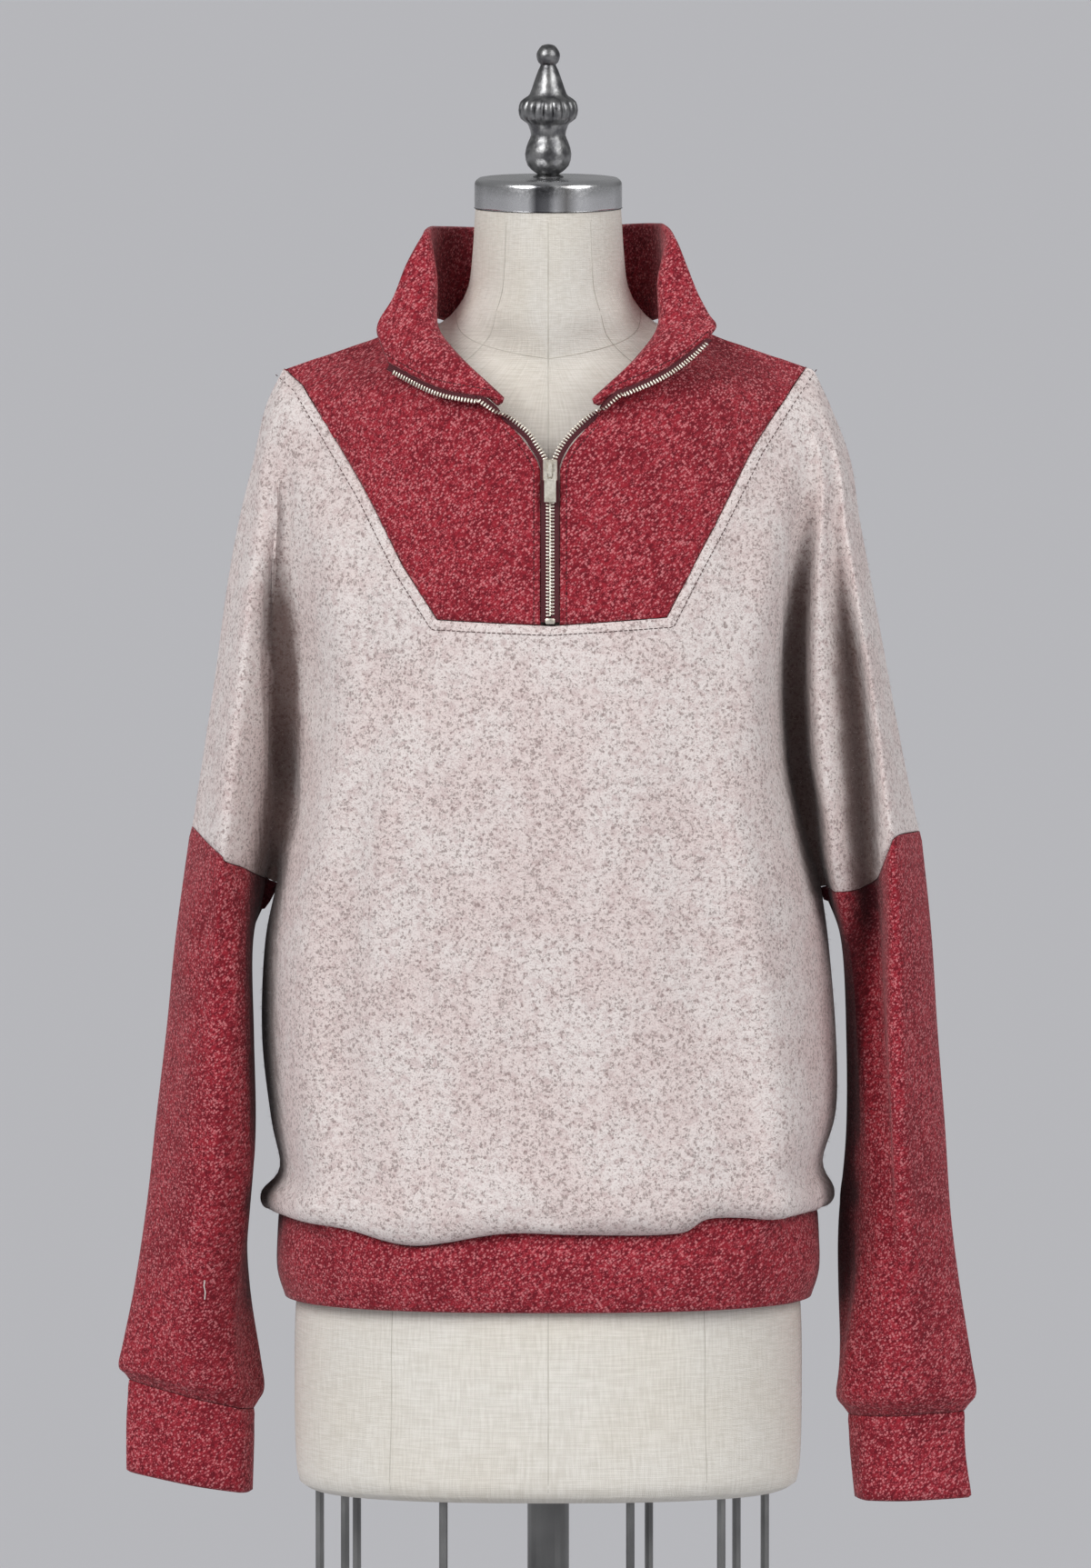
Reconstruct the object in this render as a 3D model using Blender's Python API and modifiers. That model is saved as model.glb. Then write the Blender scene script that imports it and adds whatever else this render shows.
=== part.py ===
"""Half zip sweatshirt hanging on a linen dress form with a pole, a wire skirt cage and a round base.

Metres, +Z up, front towards -Y. The origin is on the pole's axis at the underside of the base.
The cloth is lofted through tables of sections in millimetres: a row for each height, a column for
each rail that runs down the garment. x in the tables is the distance from the pole's axis.
"""

import math

import bmesh
import bpy
import numpy as np
from mathutils import Matrix

MM = 0.001
CLOTH_WALL = 0.0024  # fleece-backed jersey
DOUBLE_WALL = 0.0044  # collar, cuffs and hem band are doubled
SEAM_GAP = 0.0007
WIDE_SEAM_GAP = 0.0013  # where a seam runs along a sharp ridge or valley

# Floor stand and form
BASE_RADIUS = 0.200
BASE_HEIGHT = 0.018
POLE_RADIUS = 0.0138
FORM_BOTTOM = 0.800
FORM_TOP = 1.6465
CAP_RADIUS = 0.0486
CAP_HEIGHT = 0.0205
CAGE_TOP = FORM_BOTTOM - 0.0003
CAGE_BOTTOM = 0.250
CAGE_WIRE = 0.0028
CAGE_RING_WIRE = 0.0030
CAGE_HALF_X = 0.152
CAGE_HALF_Y = 0.098
# x of each wire, and whether it stands in the front or the back of the cage's oval ring
CAGE_WIRES = (
    (-151, "front"), (-134, "front"), (-127, "back"), (-69, "front"), (54, "front"), (67, "back"),
    (114, "front"), (125, "back"), (143, "front"),
)

# Zip
ZIP_X = 1.2 * MM
ZIP_HALF_GAP = 6.1 * MM
TAPE_WIDTH = 5.2 * MM
TAPE_THICK = 1.0 * MM
SLIDER_Z = 1.4815  # the slider's middle
SLIDER_WIDTH = 9.4 * MM
SLIDER_LENGTH = 14.0 * MM
PULL_WIDTH = 7.6 * MM
PULL_LENGTH = 20.0 * MM

LEFT, RIGHT = -1, 1

PULL_AXIS = (-3.6, -2.2)  # the pull's bar in the slider's own millimetres: y and z
BRIDGE = ((-1.1, -5.6, -5.0), (1.1, -2.0, 5.0))
UNDER_BRIDGE = ((-2.0, -4.6, -3.5), (2.0, -2.6, 3.5))
PULL_WINDOW = ((-1.6, -2.0, -4.0), (1.6, 2.0, -0.7))
PULL_TOP = 0.7  # above its axis
PULL_HALF_THICK = 0.6

# Each front half's rows run over ten rails: centre, throat, side of the neck, neck point, body's edge,
# valley beside the sleeve, and the sleeve's inner, fold, lobe and overarm rails.
RAIL_STEPS = (2, 2, 2, 2, 3, 2, 2, 2, 2)
# The neckline and shoulder line, and the row below it: x, y, z of each rail.
FIRST_ROWS = {
    "shoulder": (
        (0, -98, 1505), (33, -95, 1522), (62, -72, 1549), (80, -6, 1572), (120, -4, 1560),
        (146, -3, 1551), (154, -2, 1548.5), (161, -2, 1546), (168, -1, 1543.5), (175, 0, 1541),
    ),
    "yoke_top": (
        (0, -102, 1497), (37, -98, 1511), (74, -82, 1528), (106, -62, 1534), (140, -44, 1526),
        (162, -33, 1521), (169, -29, 1519), (175, -24, 1518), (181, -17, 1517), (187, 0, 1515),
    ),
}

# Upper body and sleeve, one row per height. z_in is the body's height, z_out the overarm's.
UPPER_COLUMNS = (
    "z_in", "z_out", "centre_y", "edge_x", "edge_y", "valley_x", "valley_y", "inner_x", "inner_y",
    "fold_x", "fold_y", "lobe_x", "lobe_y", "over_x",
)
UPPER = {
    LEFT: (
        (1480, 1480, -107, 150, -54, 171, -39, 177, -36, 183, -31, 189, -24, 195),
        (1440, 1440, -114, 148, -70, 171, -40, 178, -40, 185, -38, 193, -33, 205),
        (1395, 1395, -121, 143, -82, 168, -36, 179, -38, 189, -42, 199, -42, 213),
        (1340, 1340, -127, 136, -90, 163, -25, 178, -28, 190, -42, 205, -50, 220.5),
        (1285, 1286, -131, 142, -94, 166, -17, 182, -18, 194, -40, 211, -55, 228.5),
        (1232, 1250, -132, 152, -94, 174, -12, 187, -14, 198, -38, 215, -57, 234),
        (1201, 1238, -132, 157, -92, 180, 0, 190, -14, 200, -38, 216, -58, 236),
    ),
    RIGHT: (
        (1480, 1480, -107, 152, -54, 174, -38, 180, -40, 187, -32, 193, -28, 200),
        (1440, 1440, -114, 149, -70, 172, -38, 180, -46, 190, -34, 197, -36, 206.5),
        (1395, 1395, -121, 144, -82, 166, -33, 178, -50, 195, -32, 204, -46, 215),
        (1340, 1340, -127, 138, -90, 160, -24, 178, -54, 203, -28, 213, -54, 225),
        (1285, 1286, -131, 142, -94, 163, -16, 181, -56, 208, -26, 220, -58, 235),
        (1232, 1247, -132, 152, -94, 173, -12, 186, -54, 211, -24, 225, -60, 243),
        (1198, 1235, -132, 158, -92, 181, 0, 190, -44, 213, -24, 227, -60, 246),
    ),
}
# How far up the slant of a row each sleeve rail lies, from the body's height to the overarm's.
RISE = {
    LEFT: {"valley": 0.0, "inner": 0.15, "fold": 0.35, "lobe": 0.6, "over": 1.0},
    RIGHT: {"valley": 0.0, "inner": 0.0, "fold": 0.45, "lobe": 0.95, "over": 1.0},
}

# The body below the underarm: blouson over the hem band.
LOWER_COLUMNS = ("z", "centre_y", "edge_x", "edge_y", "side_x")
LOWER = {
    LEFT: (
        (1160, -132, 163, -90, 188),
        (1100, -132, 164, -90, 190),
        (1045, -133, 160, -92, 184),
        (1012, -135, 156, -94, 178),
        (996, -135, 163, -93, 190),
        (986, -131, 161, -90, 189),
        (984, -122, 152, -85, 178),
    ),
    RIGHT: (
        (1160, -132, 162, -90, 186),
        (1100, -132, 165, -90, 191),
        (1050, -133, 165, -92, 191),
        (1016, -135, 158, -94, 182),
        (998, -135, 162, -93, 189),
        (988, -131, 160, -90, 187),
        (984, -122, 152, -85, 178),
    ),
}
# The front's hem dips at the left of the centre and rises at the right, as it hangs.
HEM_DIP = (  # x, drop
    (-190, 0), (-140, 2), (-90, 13), (-30, 4), (20, 5), (85, 5), (110, -4), (190, 0),
)

# The back, one row for each row of the front.
BACK_COLUMNS = ("centre_y", "edge_x", "edge_y", "valley_y", "lobe_y", "lobe_in")
BACK = (
    (72, 120, -2, -1, 0, 7),
    (78, 138, 34, 26, 16, 6),
    (85, 150, 54, 42, 28, 7),
    (92, 150, 66, 44, 38, 10),
    (98, 148, 74, 40, 46, 14),
    (100, 144, 80, 30, 52, 17),
    (101, 146, 84, 19, 54, 19),
    (104, 152, 86, 12, 55, 20),
    (106, 157, 86, 0, 55, 20),
    (110, 163, 88, 0, 0, 0),
    (114, 165, 90, 0, 0, 0),
    (119, 163, 92, 0, 0, 0),
    (123, 157, 94, 0, 0, 0),
    (125, 163, 93, 0, 0, 0),
    (123, 161, 90, 0, 0, 0),
    (116, 152, 85, 0, 0, 0),
)
BACK_TOP_Z = 1540
BACK_NECK = ((0, 72, 1556), (33, 66, 1559), (62, 44, 1566), (80, -6, 1572))

# Lower sleeves: the ring of rails at each height, and the cuff from row CUFF_ROW on.
SLEEVE_COLUMNS = (
    "z_in", "z_out", "under_x", "under_y", "inner_x", "inner_y", "fold_x", "fold_y", "lobe_x", "lobe_y",
    "over_x", "over_y", "back_x", "back_y", "rear_x", "rear_y",
)
SLEEVE = {
    LEFT: (
        (1160, 1165, 197, 4, 195, -22, 201, -46, 221, -59, 246, 0, 228, 50, 204, 38),
        (1100, 1105, 198, 6, 194, -26, 200, -50, 223, -60, 252, 0, 232, 52, 206, 40),
        (1040, 1045, 198, 8, 193, -26, 200, -50, 226, -59, 259, 0, 238, 50, 207, 40),
        (985, 990, 201, 10, 197, -24, 204, -46, 232, -54, 265, -2, 244, 45, 210, 37),
        (928, 936, 197, 14, 203, -20, 211, -38, 238, -46, 273, -4, 250, 36, 207, 33),
        (882, 896, 190, 16, 201, -14, 211, -32, 240, -39, 281, -6, 254, 27, 203, 28),
        (863, 880, 188, 14, 197, -12, 209, -28, 240, -35, 284, -6, 254, 23, 201, 25),
        (851, 871, 194, 10, 199, -11, 210, -22, 240, -27, 278, -5, 252, 15, 206, 18),
        (828, 842, 195, 8, 198, -11, 209, -21, 240, -25, 279, -5, 252, 13, 207, 16),
        (797, 811, 196, 8, 199, -11, 210, -21, 240, -25, 279, -5, 252, 13, 208, 16),
    ),
    RIGHT: (
        (1160, 1168, 194, 5, 198, -26, 214, -18, 230, -56, 253, 0, 234, 50, 205, 38),
        (1100, 1106, 197, 6, 201, -18, 213, -24, 231, -57, 257, 0, 238, 50, 207, 40),
        (1036, 1042, 197, 8, 202, -14, 212, -32, 232, -57, 262, 0, 240, 48, 207, 40),
        (975, 982, 192, 12, 201, -10, 211, -34, 234, -53, 266, -2, 244, 42, 203, 36),
        (928, 934, 192, 11, 199, -10, 206, -33, 236, -47, 272, -4, 248, 34, 201, 31),
        (880, 884, 194, 8, 193, -12, 201, -31, 238, -41, 280, -5, 252, 24, 205, 25),
        (860, 862, 192, 4, 192, -12, 202, -29, 238, -36, 283, -5, 252, 19, 205, 20),
        (848, 850, 198, 2, 201, -11, 211, -22, 238, -27, 276, -4, 250, 15, 209, 15),
        (822, 823, 200, 2, 203, -11, 212, -21, 238, -25, 276, -4, 250, 13, 210, 13),
        (793, 794, 203, 2, 205, -11, 213, -21, 240, -25, 280, -4, 252, 13, 211, 13),
    ),
}
UNDERARM_EASE = 0.0015  # the sleeve's seam eases below the underarm's corner, where four cloths meet
CUFF_ROW = 8  # counting the sleeve's seam as row 0
SLEEVE_RING_STEPS = RAIL_STEPS[5:] + RAIL_STEPS[:4:-1]

# The hem band: superellipse rings.
BAND_COLUMNS = ("z", "half_x", "front_y", "back_y")
BAND = ((984, 178, -122, 116), (966, 179, -124, 118), (945, 179, -123, 118), (928, 174, -119, 115))

# The collar's stations from the zip's end to the back, on each side: where its seam lies along the
# neckline (in rails), and the middle of its height and its top edge.
COLLAR_COLUMNS = ("along", "mid_x", "mid_y", "mid_z", "top_x", "top_y", "top_z")
COLLAR = {
    LEFT: (
        (0.0, 70, -90, 1535, 104, -66, 1550),
        (0.4, 80, -82, 1548, 109, -58, 1562),
        (0.8, 87, -71, 1561, 111, -49, 1573),
        (1.1, 87, -61, 1574, 101, -44, 1590),
        (1.35, 82, -50, 1590, 92, -37, 1612),
        (1.6, 75, -37, 1602, 81, -28, 1631),
        (2.0, 79, -2, 1604, 78, 2, 1633),
        (2.5, 73, 32, 1601, 71, 37, 1631),
        (3.0, 55, 56, 1597, 54, 62, 1629),
        (4.0, 29, 72, 1592, 29, 79, 1627),
        (5.0, 0, 78, 1591, 0, 84, 1626),
    ),
    RIGHT: (
        (0.0, 72, -88, 1545, 104, -66, 1566),
        (0.4, 80, -80, 1557, 109, -56, 1573),
        (0.8, 84, -69, 1567, 104, -45, 1580),
        (1.1, 84, -57, 1577, 97, -39, 1593),
        (1.35, 80, -49, 1589, 91, -35, 1608),
        (1.6, 74, -37, 1602, 83, -26, 1627),
        (2.0, 78, -2, 1604, 77, 2, 1634),
        (2.5, 73, 32, 1602, 71, 37, 1633),
        (3.0, 55, 56, 1598, 54, 62, 1631),
        (4.0, 29, 72, 1593, 29, 79, 1628),
        (5.0, 0, 78, 1591, 0, 84, 1626),
    ),
}

COLLAR_LIFT = 0.0032  # its seam stands this far off the neckline
COLLAR_STAND = 0.0085  # and it rolls outwards from this height
COLLAR_FRONT_RISE = (0.0, -0.62, 0.78)

# The yoke's outline on the front, from the shoulder's end to the corner above the centre (x, z).
YOKE_OUTLINE = {
    LEFT: ((186, 1556), (175, 1541.5), (162, 1532), (146, 1507), (119, 1464), (96, 1419), (73, 1384)),
    RIGHT: ((183, 1558), (171, 1543.5), (156, 1524), (135, 1493), (110, 1445), (94, 1416), (78, 1385.5)),
}
YOKE_BOTTOM_Z = 1381
# The opened front edge beside the zip, from the slider to the neckline (x, z).
OPEN_EDGE = {
    LEFT: ((4.9, 1482), (7, 1488), (12, 1496), (19, 1505), (27, 1513), (33, 1520), (37, 1532)),
    RIGHT: ((7.3, 1482), (9, 1488), (14, 1497), (22, 1506), (29, 1514), (34, 1520), (38, 1532)),
}

# The dress form: superellipse rings with a front and a back depth.
FORM_COLUMNS = ("z", "half_x", "front_y", "back_y", "power")
FORM = (
    (800, 156, -102, 101, 2.4), (803, 162, -107, 105, 2.4), (812, 166, -111, 108, 2.4),
    (860, 167.5, -113, 109, 2.3), (930, 166, -112, 108, 2.3), (1000, 155, -106, 104, 2.2),
    (1090, 122, -90, 86, 2.1), (1180, 132, -98, 82, 2.1), (1280, 146, -113, 86, 2.2),
    (1340, 146, -110, 88, 2.3), (1400, 150, -96, 86, 2.2), (1450, 154, -84, 80, 2.1),
    (1490, 158, -74, 70, 2.0), (1515, 159, -62, 56, 1.8), (1532, 156, -56, 48, 1.5),
    (1544.5, 146, -52, 40, 1.25), (1552, 126, -50, 38, 1.2), (1558.8, 106, -50, 39, 1.25),
    (1564.6, 86, -50, 40, 1.4), (1571.5, 70, -50, 43, 1.7), (1581, 60, -50, 48, 2.0),
    (1595, 52.5, -49.5, 49, 2.0), (1620, 49.5, -49, 49, 2.0), (1646.5, 48, -48, 48, 2.0),
)
FORM_COLUMNS_ROUND = 32

# Turned metal: radius and height of the profile's corners, top to bottom.
FINIAL_PROFILE = (
    (0.0, 1755), (4.2, 1754), (7.2, 1750), (7.8, 1747), (6.6, 1743), (5.0, 1741.5), (6.5, 1738),
    (9.6, 1730), (12.6, 1722), (14.6, 1720), (18.6, 1717), (19.8, 1711.5), (18.4, 1705.5), (13.8, 1702.5),
    (12.6, 1700), (11.4, 1695), (13.4, 1690), (15.3, 1682.5), (13.6, 1675), (9.0, 1670.5), (7.0, 1669.5),
    (10.0, 1667.5), (10.0, 1667.3), (0.0, 1667.3),
)


def clear_scene():
    for old in list(bpy.data.objects):
        bpy.data.objects.remove(old, do_unlink=True)


def collection(name):
    made = bpy.data.collections.new(name)
    bpy.context.scene.collection.children.link(made)
    return made


def material(name, color, roughness, metallic=0.0):
    made = bpy.data.materials.new(name)
    made.use_nodes = True
    shader = made.node_tree.nodes["Principled BSDF"]
    shader.inputs["Base Color"].default_value = (*color, 1.0)
    shader.inputs["Roughness"].default_value = roughness
    shader.inputs["Metallic"].default_value = metallic
    made.diffuse_color = (*color, 1.0)
    return made


def add_object(name, mesh, surface):
    mesh.materials.append(surface)
    mesh.shade_smooth()
    mesh.set_sharp_from_angle(angle=math.radians(40))
    made = bpy.data.objects.new(name, mesh)
    PART.objects.link(made)
    return made


def mesh_from(name, points, faces):
    mesh = bpy.data.meshes.new(name)
    mesh.from_pydata([tuple(point) for point in points], [], [tuple(face) for face in faces])
    mesh.update()
    return mesh


def spline(points, steps):
    """Catmull-Rom curves through the first axis of an array, with a number of steps for each span."""
    points = np.asarray(points, float)
    before = 2 * points[0] - points[1]
    after = 2 * points[-1] - points[-2]
    padded = np.concatenate([before[None], points, after[None]])
    rows = []
    for span, count in enumerate(steps):
        p0, p1, p2, p3 = padded[span:span + 4]
        for t in np.arange(count) / count:
            rows.append(
                0.5 * (2 * p1 + (p2 - p0) * t + (2 * p0 - 5 * p1 + 4 * p2 - p3) * t * t
                       + (3 * p1 - p0 - 3 * p2 + p3) * t ** 3)
            )
    rows.append(points[-1])
    return np.array(rows)


def ring_spline(points, steps):
    """The same through a closed ring: the last point isn't repeated."""
    points = np.asarray(points, float)
    count = len(points)
    padded = np.concatenate([points[-1:], points, points[:2]])
    rows = []
    for span in range(count):
        p0, p1, p2, p3 = padded[span:span + 4]
        for t in np.arange(steps[span]) / steps[span]:
            rows.append(
                0.5 * (2 * p1 + (p2 - p0) * t + (2 * p0 - 5 * p1 + 4 * p2 - p3) * t * t
                       + (3 * p1 - p0 - 3 * p2 + p3) * t ** 3)
            )
    return np.array(rows)


def body_arc(centre_y, edge_x, edge_y):
    """x and y of the rails from the centre to the body's edge: a flat-fronted curve."""
    share = np.array([0.0, 0.28, 0.53, 0.78, 1.0])
    return edge_x * share, centre_y + (edge_y - centre_y) * share ** 2.4


def front_rows(side):
    """Control rows of one front half, from the shoulder line down to the underarm and the hem."""
    rows = [np.array(FIRST_ROWS["shoulder"], float), np.array(FIRST_ROWS["yoke_top"], float)]
    for values in UPPER[side]:
        row = dict(zip(UPPER_COLUMNS, values))
        across, depth = body_arc(row["centre_y"], row["edge_x"], row["edge_y"])
        points = [(x, y, row["z_in"]) for x, y in zip(across, depth)]
        for rail in ("valley", "inner", "fold", "lobe", "over"):
            height = row["z_in"] + (row["z_out"] - row["z_in"]) * RISE[side][rail]
            points.append((row[f"{rail}_x"], row.get(f"{rail}_y", 2), height))
        rows.append(np.array(points, float))
    for values in LOWER[side]:
        row = dict(zip(LOWER_COLUMNS, values))
        across, depth = body_arc(row["centre_y"], row["edge_x"], row["edge_y"])
        points = [(x, y, row["z"]) for x, y in zip(across, depth)]
        points.append((row["side_x"], 0, row["z"]))
        points += [points[-1]] * 4
        rows.append(np.array(points, float))
    return np.array(rows)


def back_rows(side, front):
    """Control rows of one back half, which share the overarm, side and shoulder with the front."""
    rows = []
    for index, values in enumerate(BACK):
        row = dict(zip(BACK_COLUMNS, values))
        ahead = front[index]
        points = ahead.copy()
        across, depth = body_arc(row["centre_y"], row["edge_x"], row["edge_y"])
        if index:
            points[:5, 0] = across
            points[:5, 1] = depth
            points[5, 1] = row["valley_y"] if index < UNDERARM else 0
        if 0 < index <= UNDERARM:
            points[:5, 2] = ahead[5, 2]
            valley, over = ahead[5], ahead[9]
            lobe_x = over[0] - row["lobe_in"]
            for rail, share in ((6, 0.33), (7, 0.67), (8, 1.0)):
                points[rail, 0] = valley[0] + (lobe_x - valley[0]) * share
                points[rail, 1] = row["valley_y"] + (row["lobe_y"] - row["valley_y"]) * math.sin(
                    share * math.pi / 2)
                points[rail, 2] = valley[2] + (over[2] - valley[2]) * share
        if index == 0:
            points[:4] = BACK_NECK
        if index == 1:
            points[:5, 2] = (BACK_TOP_Z, 1541, 1543, 1540, 1530)
        rows.append(points)
    return np.array(rows)


UNDERARM = 1 + len(UPPER[LEFT])  # the row of the underarm, which is the sleeve's seam
ROW_STEPS = (2, 2, 2, 2, 2, 2, 1, 1) + (2, 1, 2, 1, 1, 1, 1)
UNDERARM_ROW = sum(ROW_STEPS[:UNDERARM])
VALLEY_COLUMN = sum(RAIL_STEPS[:5])
NECK_POINT_COLUMN = sum(RAIL_STEPS[:3])


def half_grid(control, side):
    """The resampled surface of one half, in metres."""
    tall = spline(control, ROW_STEPS)
    side_seam = spline(control[UNDERARM:, 5], ROW_STEPS[UNDERARM:])
    tall[UNDERARM_ROW:, 5] = side_seam
    tall[UNDERARM_ROW + 1:, 6:] = side_seam[1:, None]
    grid = spline(tall.transpose(1, 0, 2), RAIL_STEPS).transpose(1, 0, 2)
    grid = grid * MM
    grid[:, :, 0] *= side
    return grid


def hem_dip(grid):
    """The hem's seam hangs lower in places: the last rows of the front follow it."""
    xs, drops = np.array(HEM_DIP, float).T
    rows = len(grid)
    first = UNDERARM_ROW + 3
    for row in range(first, rows):
        share = (row - first) / (rows - 1 - first)
        grid[row, :, 2] -= np.interp(grid[row, :, 0] / MM, xs, drops) * MM * share
    return grid


def sleeve_grid(side, seam_ring):
    """Rows of the lower sleeve and cuff, from the ring of the sleeve's seam."""
    rows = [seam_ring]
    for values in SLEEVE[side]:
        row = dict(zip(SLEEVE_COLUMNS, values))
        names = ("under", "inner", "fold", "lobe", "over", "back", "between", "rear")
        row["between_x"] = (row["back_x"] + row["rear_x"]) / 2
        row["between_y"] = max(row["back_y"], row["rear_y"]) + 0.08 * (row["back_x"] - row["rear_x"])
        reach = row["over_x"] - row["under_x"]
        points = []
        for name in names:
            share = min(max((row[f"{name}_x"] - row["under_x"]) / reach, 0), 1)
            points.append((row[f"{name}_x"] * side, row[f"{name}_y"],
                           row["z_in"] + (row["z_out"] - row["z_in"]) * share))
        rows.append(ring_spline(points, SLEEVE_RING_STEPS) * MM)
    return np.array(rows)


def superellipse_ring(half_x, front_y, back_y, z, power, count, phase=0.0):
    angle = np.arange(count) / count * 2 * math.pi + phase
    cos, sin = np.cos(angle), np.sin(angle)
    depth = np.where(sin < 0, -front_y, back_y)
    x = half_x * np.sign(cos) * np.abs(cos) ** (2 / power)
    y = depth * np.sign(sin) * np.abs(sin) ** (2 / power)
    return np.stack([x, y, np.full(count, z)], axis=1)


class Cloth:
    """Quads of the whole garment's outer face, welded, each with the name of its piece."""

    def __init__(self):
        self.bm = bmesh.new()
        self.keys = {}
        self.piece = {}
        self.names = []

    def vertex(self, point):
        key = tuple(np.round(np.asarray(point) * 1e5).astype(int))
        if key not in self.keys:
            self.keys[key] = self.bm.verts.new(tuple(point))
        return self.keys[key]

    def add_grid(self, grid, piece, outward=True, closed=False):
        """A grid's quads, with its rows running down and its columns to the side."""
        if piece not in self.names:
            self.names.append(piece)
        rows, columns = grid.shape[:2]
        for i in range(rows - 1):
            for j in range(columns if closed else columns - 1):
                k = (j + 1) % columns
                ring = [grid[i, j], grid[i + 1, j], grid[i + 1, k], grid[i, k]]
                verts = [self.vertex(point) for point in ring]
                unique = [v for n, v in enumerate(verts) if v not in verts[:n]]
                if len(unique) < 3:
                    continue
                face = self.bm.faces.new(unique if outward else unique[::-1])
                face.material_index = self.names.index(piece)

    def split_along(self, start, end, box):
        """Cuts the faces of the front whose middle lies in a box along the upright plane through a line."""
        faces = [f for f in self.bm.faces if box(f.calc_center_median()) and self.is_front(f)]
        geometry = list({e for f in faces for e in f.edges}) + list({v for f in faces for v in f.verts}) + faces
        along = np.array(end) - np.array(start)
        normal = (along[1], 0.0, -along[0])
        bmesh.ops.bisect_plane(
            self.bm, geom=geometry, dist=1e-6, plane_co=(start[0], 0.0, start[1]), plane_no=normal)

    def is_front(self, face):
        return self.names[face.material_index] == "front_panel"

    def shell(self, piece, wall, gap):
        """The closed wall of one piece: its outer face, its inner face and its cut edges."""
        index = self.names.index(piece)
        faces = [f for f in self.bm.faces if f.material_index == index]
        verts = list({v for f in faces for v in f.verts})
        verts.sort(key=lambda v: v.index)
        number = {v: n for n, v in enumerate(verts)}
        edges = {}
        for face in faces:
            for loop in face.loops:
                edges.setdefault(loop.edge, []).append((loop.vert, loop.link_loop_next.vert, face))
        shift = {v: [] for v in verts}
        rim = []
        for uses in edges.values():
            if len(uses) != 1:
                continue
            start, end, face = uses[0]
            rim.append((start, end))
            inward = face.normal.cross((end.co - start.co).normalized())
            shift[start].append(inward)
            shift[end].append(inward)
        outer = []
        for v in verts:
            move = np.zeros(3)
            for inward in shift[v]:
                move += np.array(inward)
            size = np.linalg.norm(move)
            if size > 1e-6:
                direction = move / size
                spread = max(float(np.dot(direction, np.array(inward))) for inward in shift[v])
                move = direction * gap / 2 / max(spread, 0.3)
            outer.append(np.array(v.co) + move)
        outer = np.array(outer)
        normals = np.array([v.normal for v in verts])
        inner = outer - normals * wall
        count = len(verts)
        quads = [[number[v] for v in face.verts] for face in faces]
        quads += [[number[v] + count for v in reversed(face.verts)] for face in faces]
        for start, end in rim:
            quads.append([number[end], number[start], number[start] + count, number[end] + count])
        return np.concatenate([outer, inner]), quads


def in_outline(point, outline):
    """Whether an (x, z) point lies inside a closed outline."""
    x, z = point
    inside = False
    for (x0, z0), (x1, z1) in zip(outline, outline[1:] + outline[:1]):
        if (z0 > z) != (z1 > z) and x < x0 + (z - z0) / (z1 - z0) * (x1 - x0):
            inside = not inside
    return inside


def mirrored(points, side):
    return [(x * side * MM, z * MM) for x, z in points]


def yoke_outline(side):
    """One yoke half's closed outline on the front, from the shoulder round to the neck."""
    zip_edge = side * ZIP_HALF_GAP + ZIP_X
    outline = mirrored(YOKE_OUTLINE[side], side)
    outline += [(zip_edge, YOKE_BOTTOM_Z * MM), (zip_edge, OPEN_EDGE[side][0][1] * MM)]
    outline += mirrored(OPEN_EDGE[side][1:], side)
    outline += [(0.05 * side, 1.60), (0.12 * side, 1.62)]
    return outline


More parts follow.
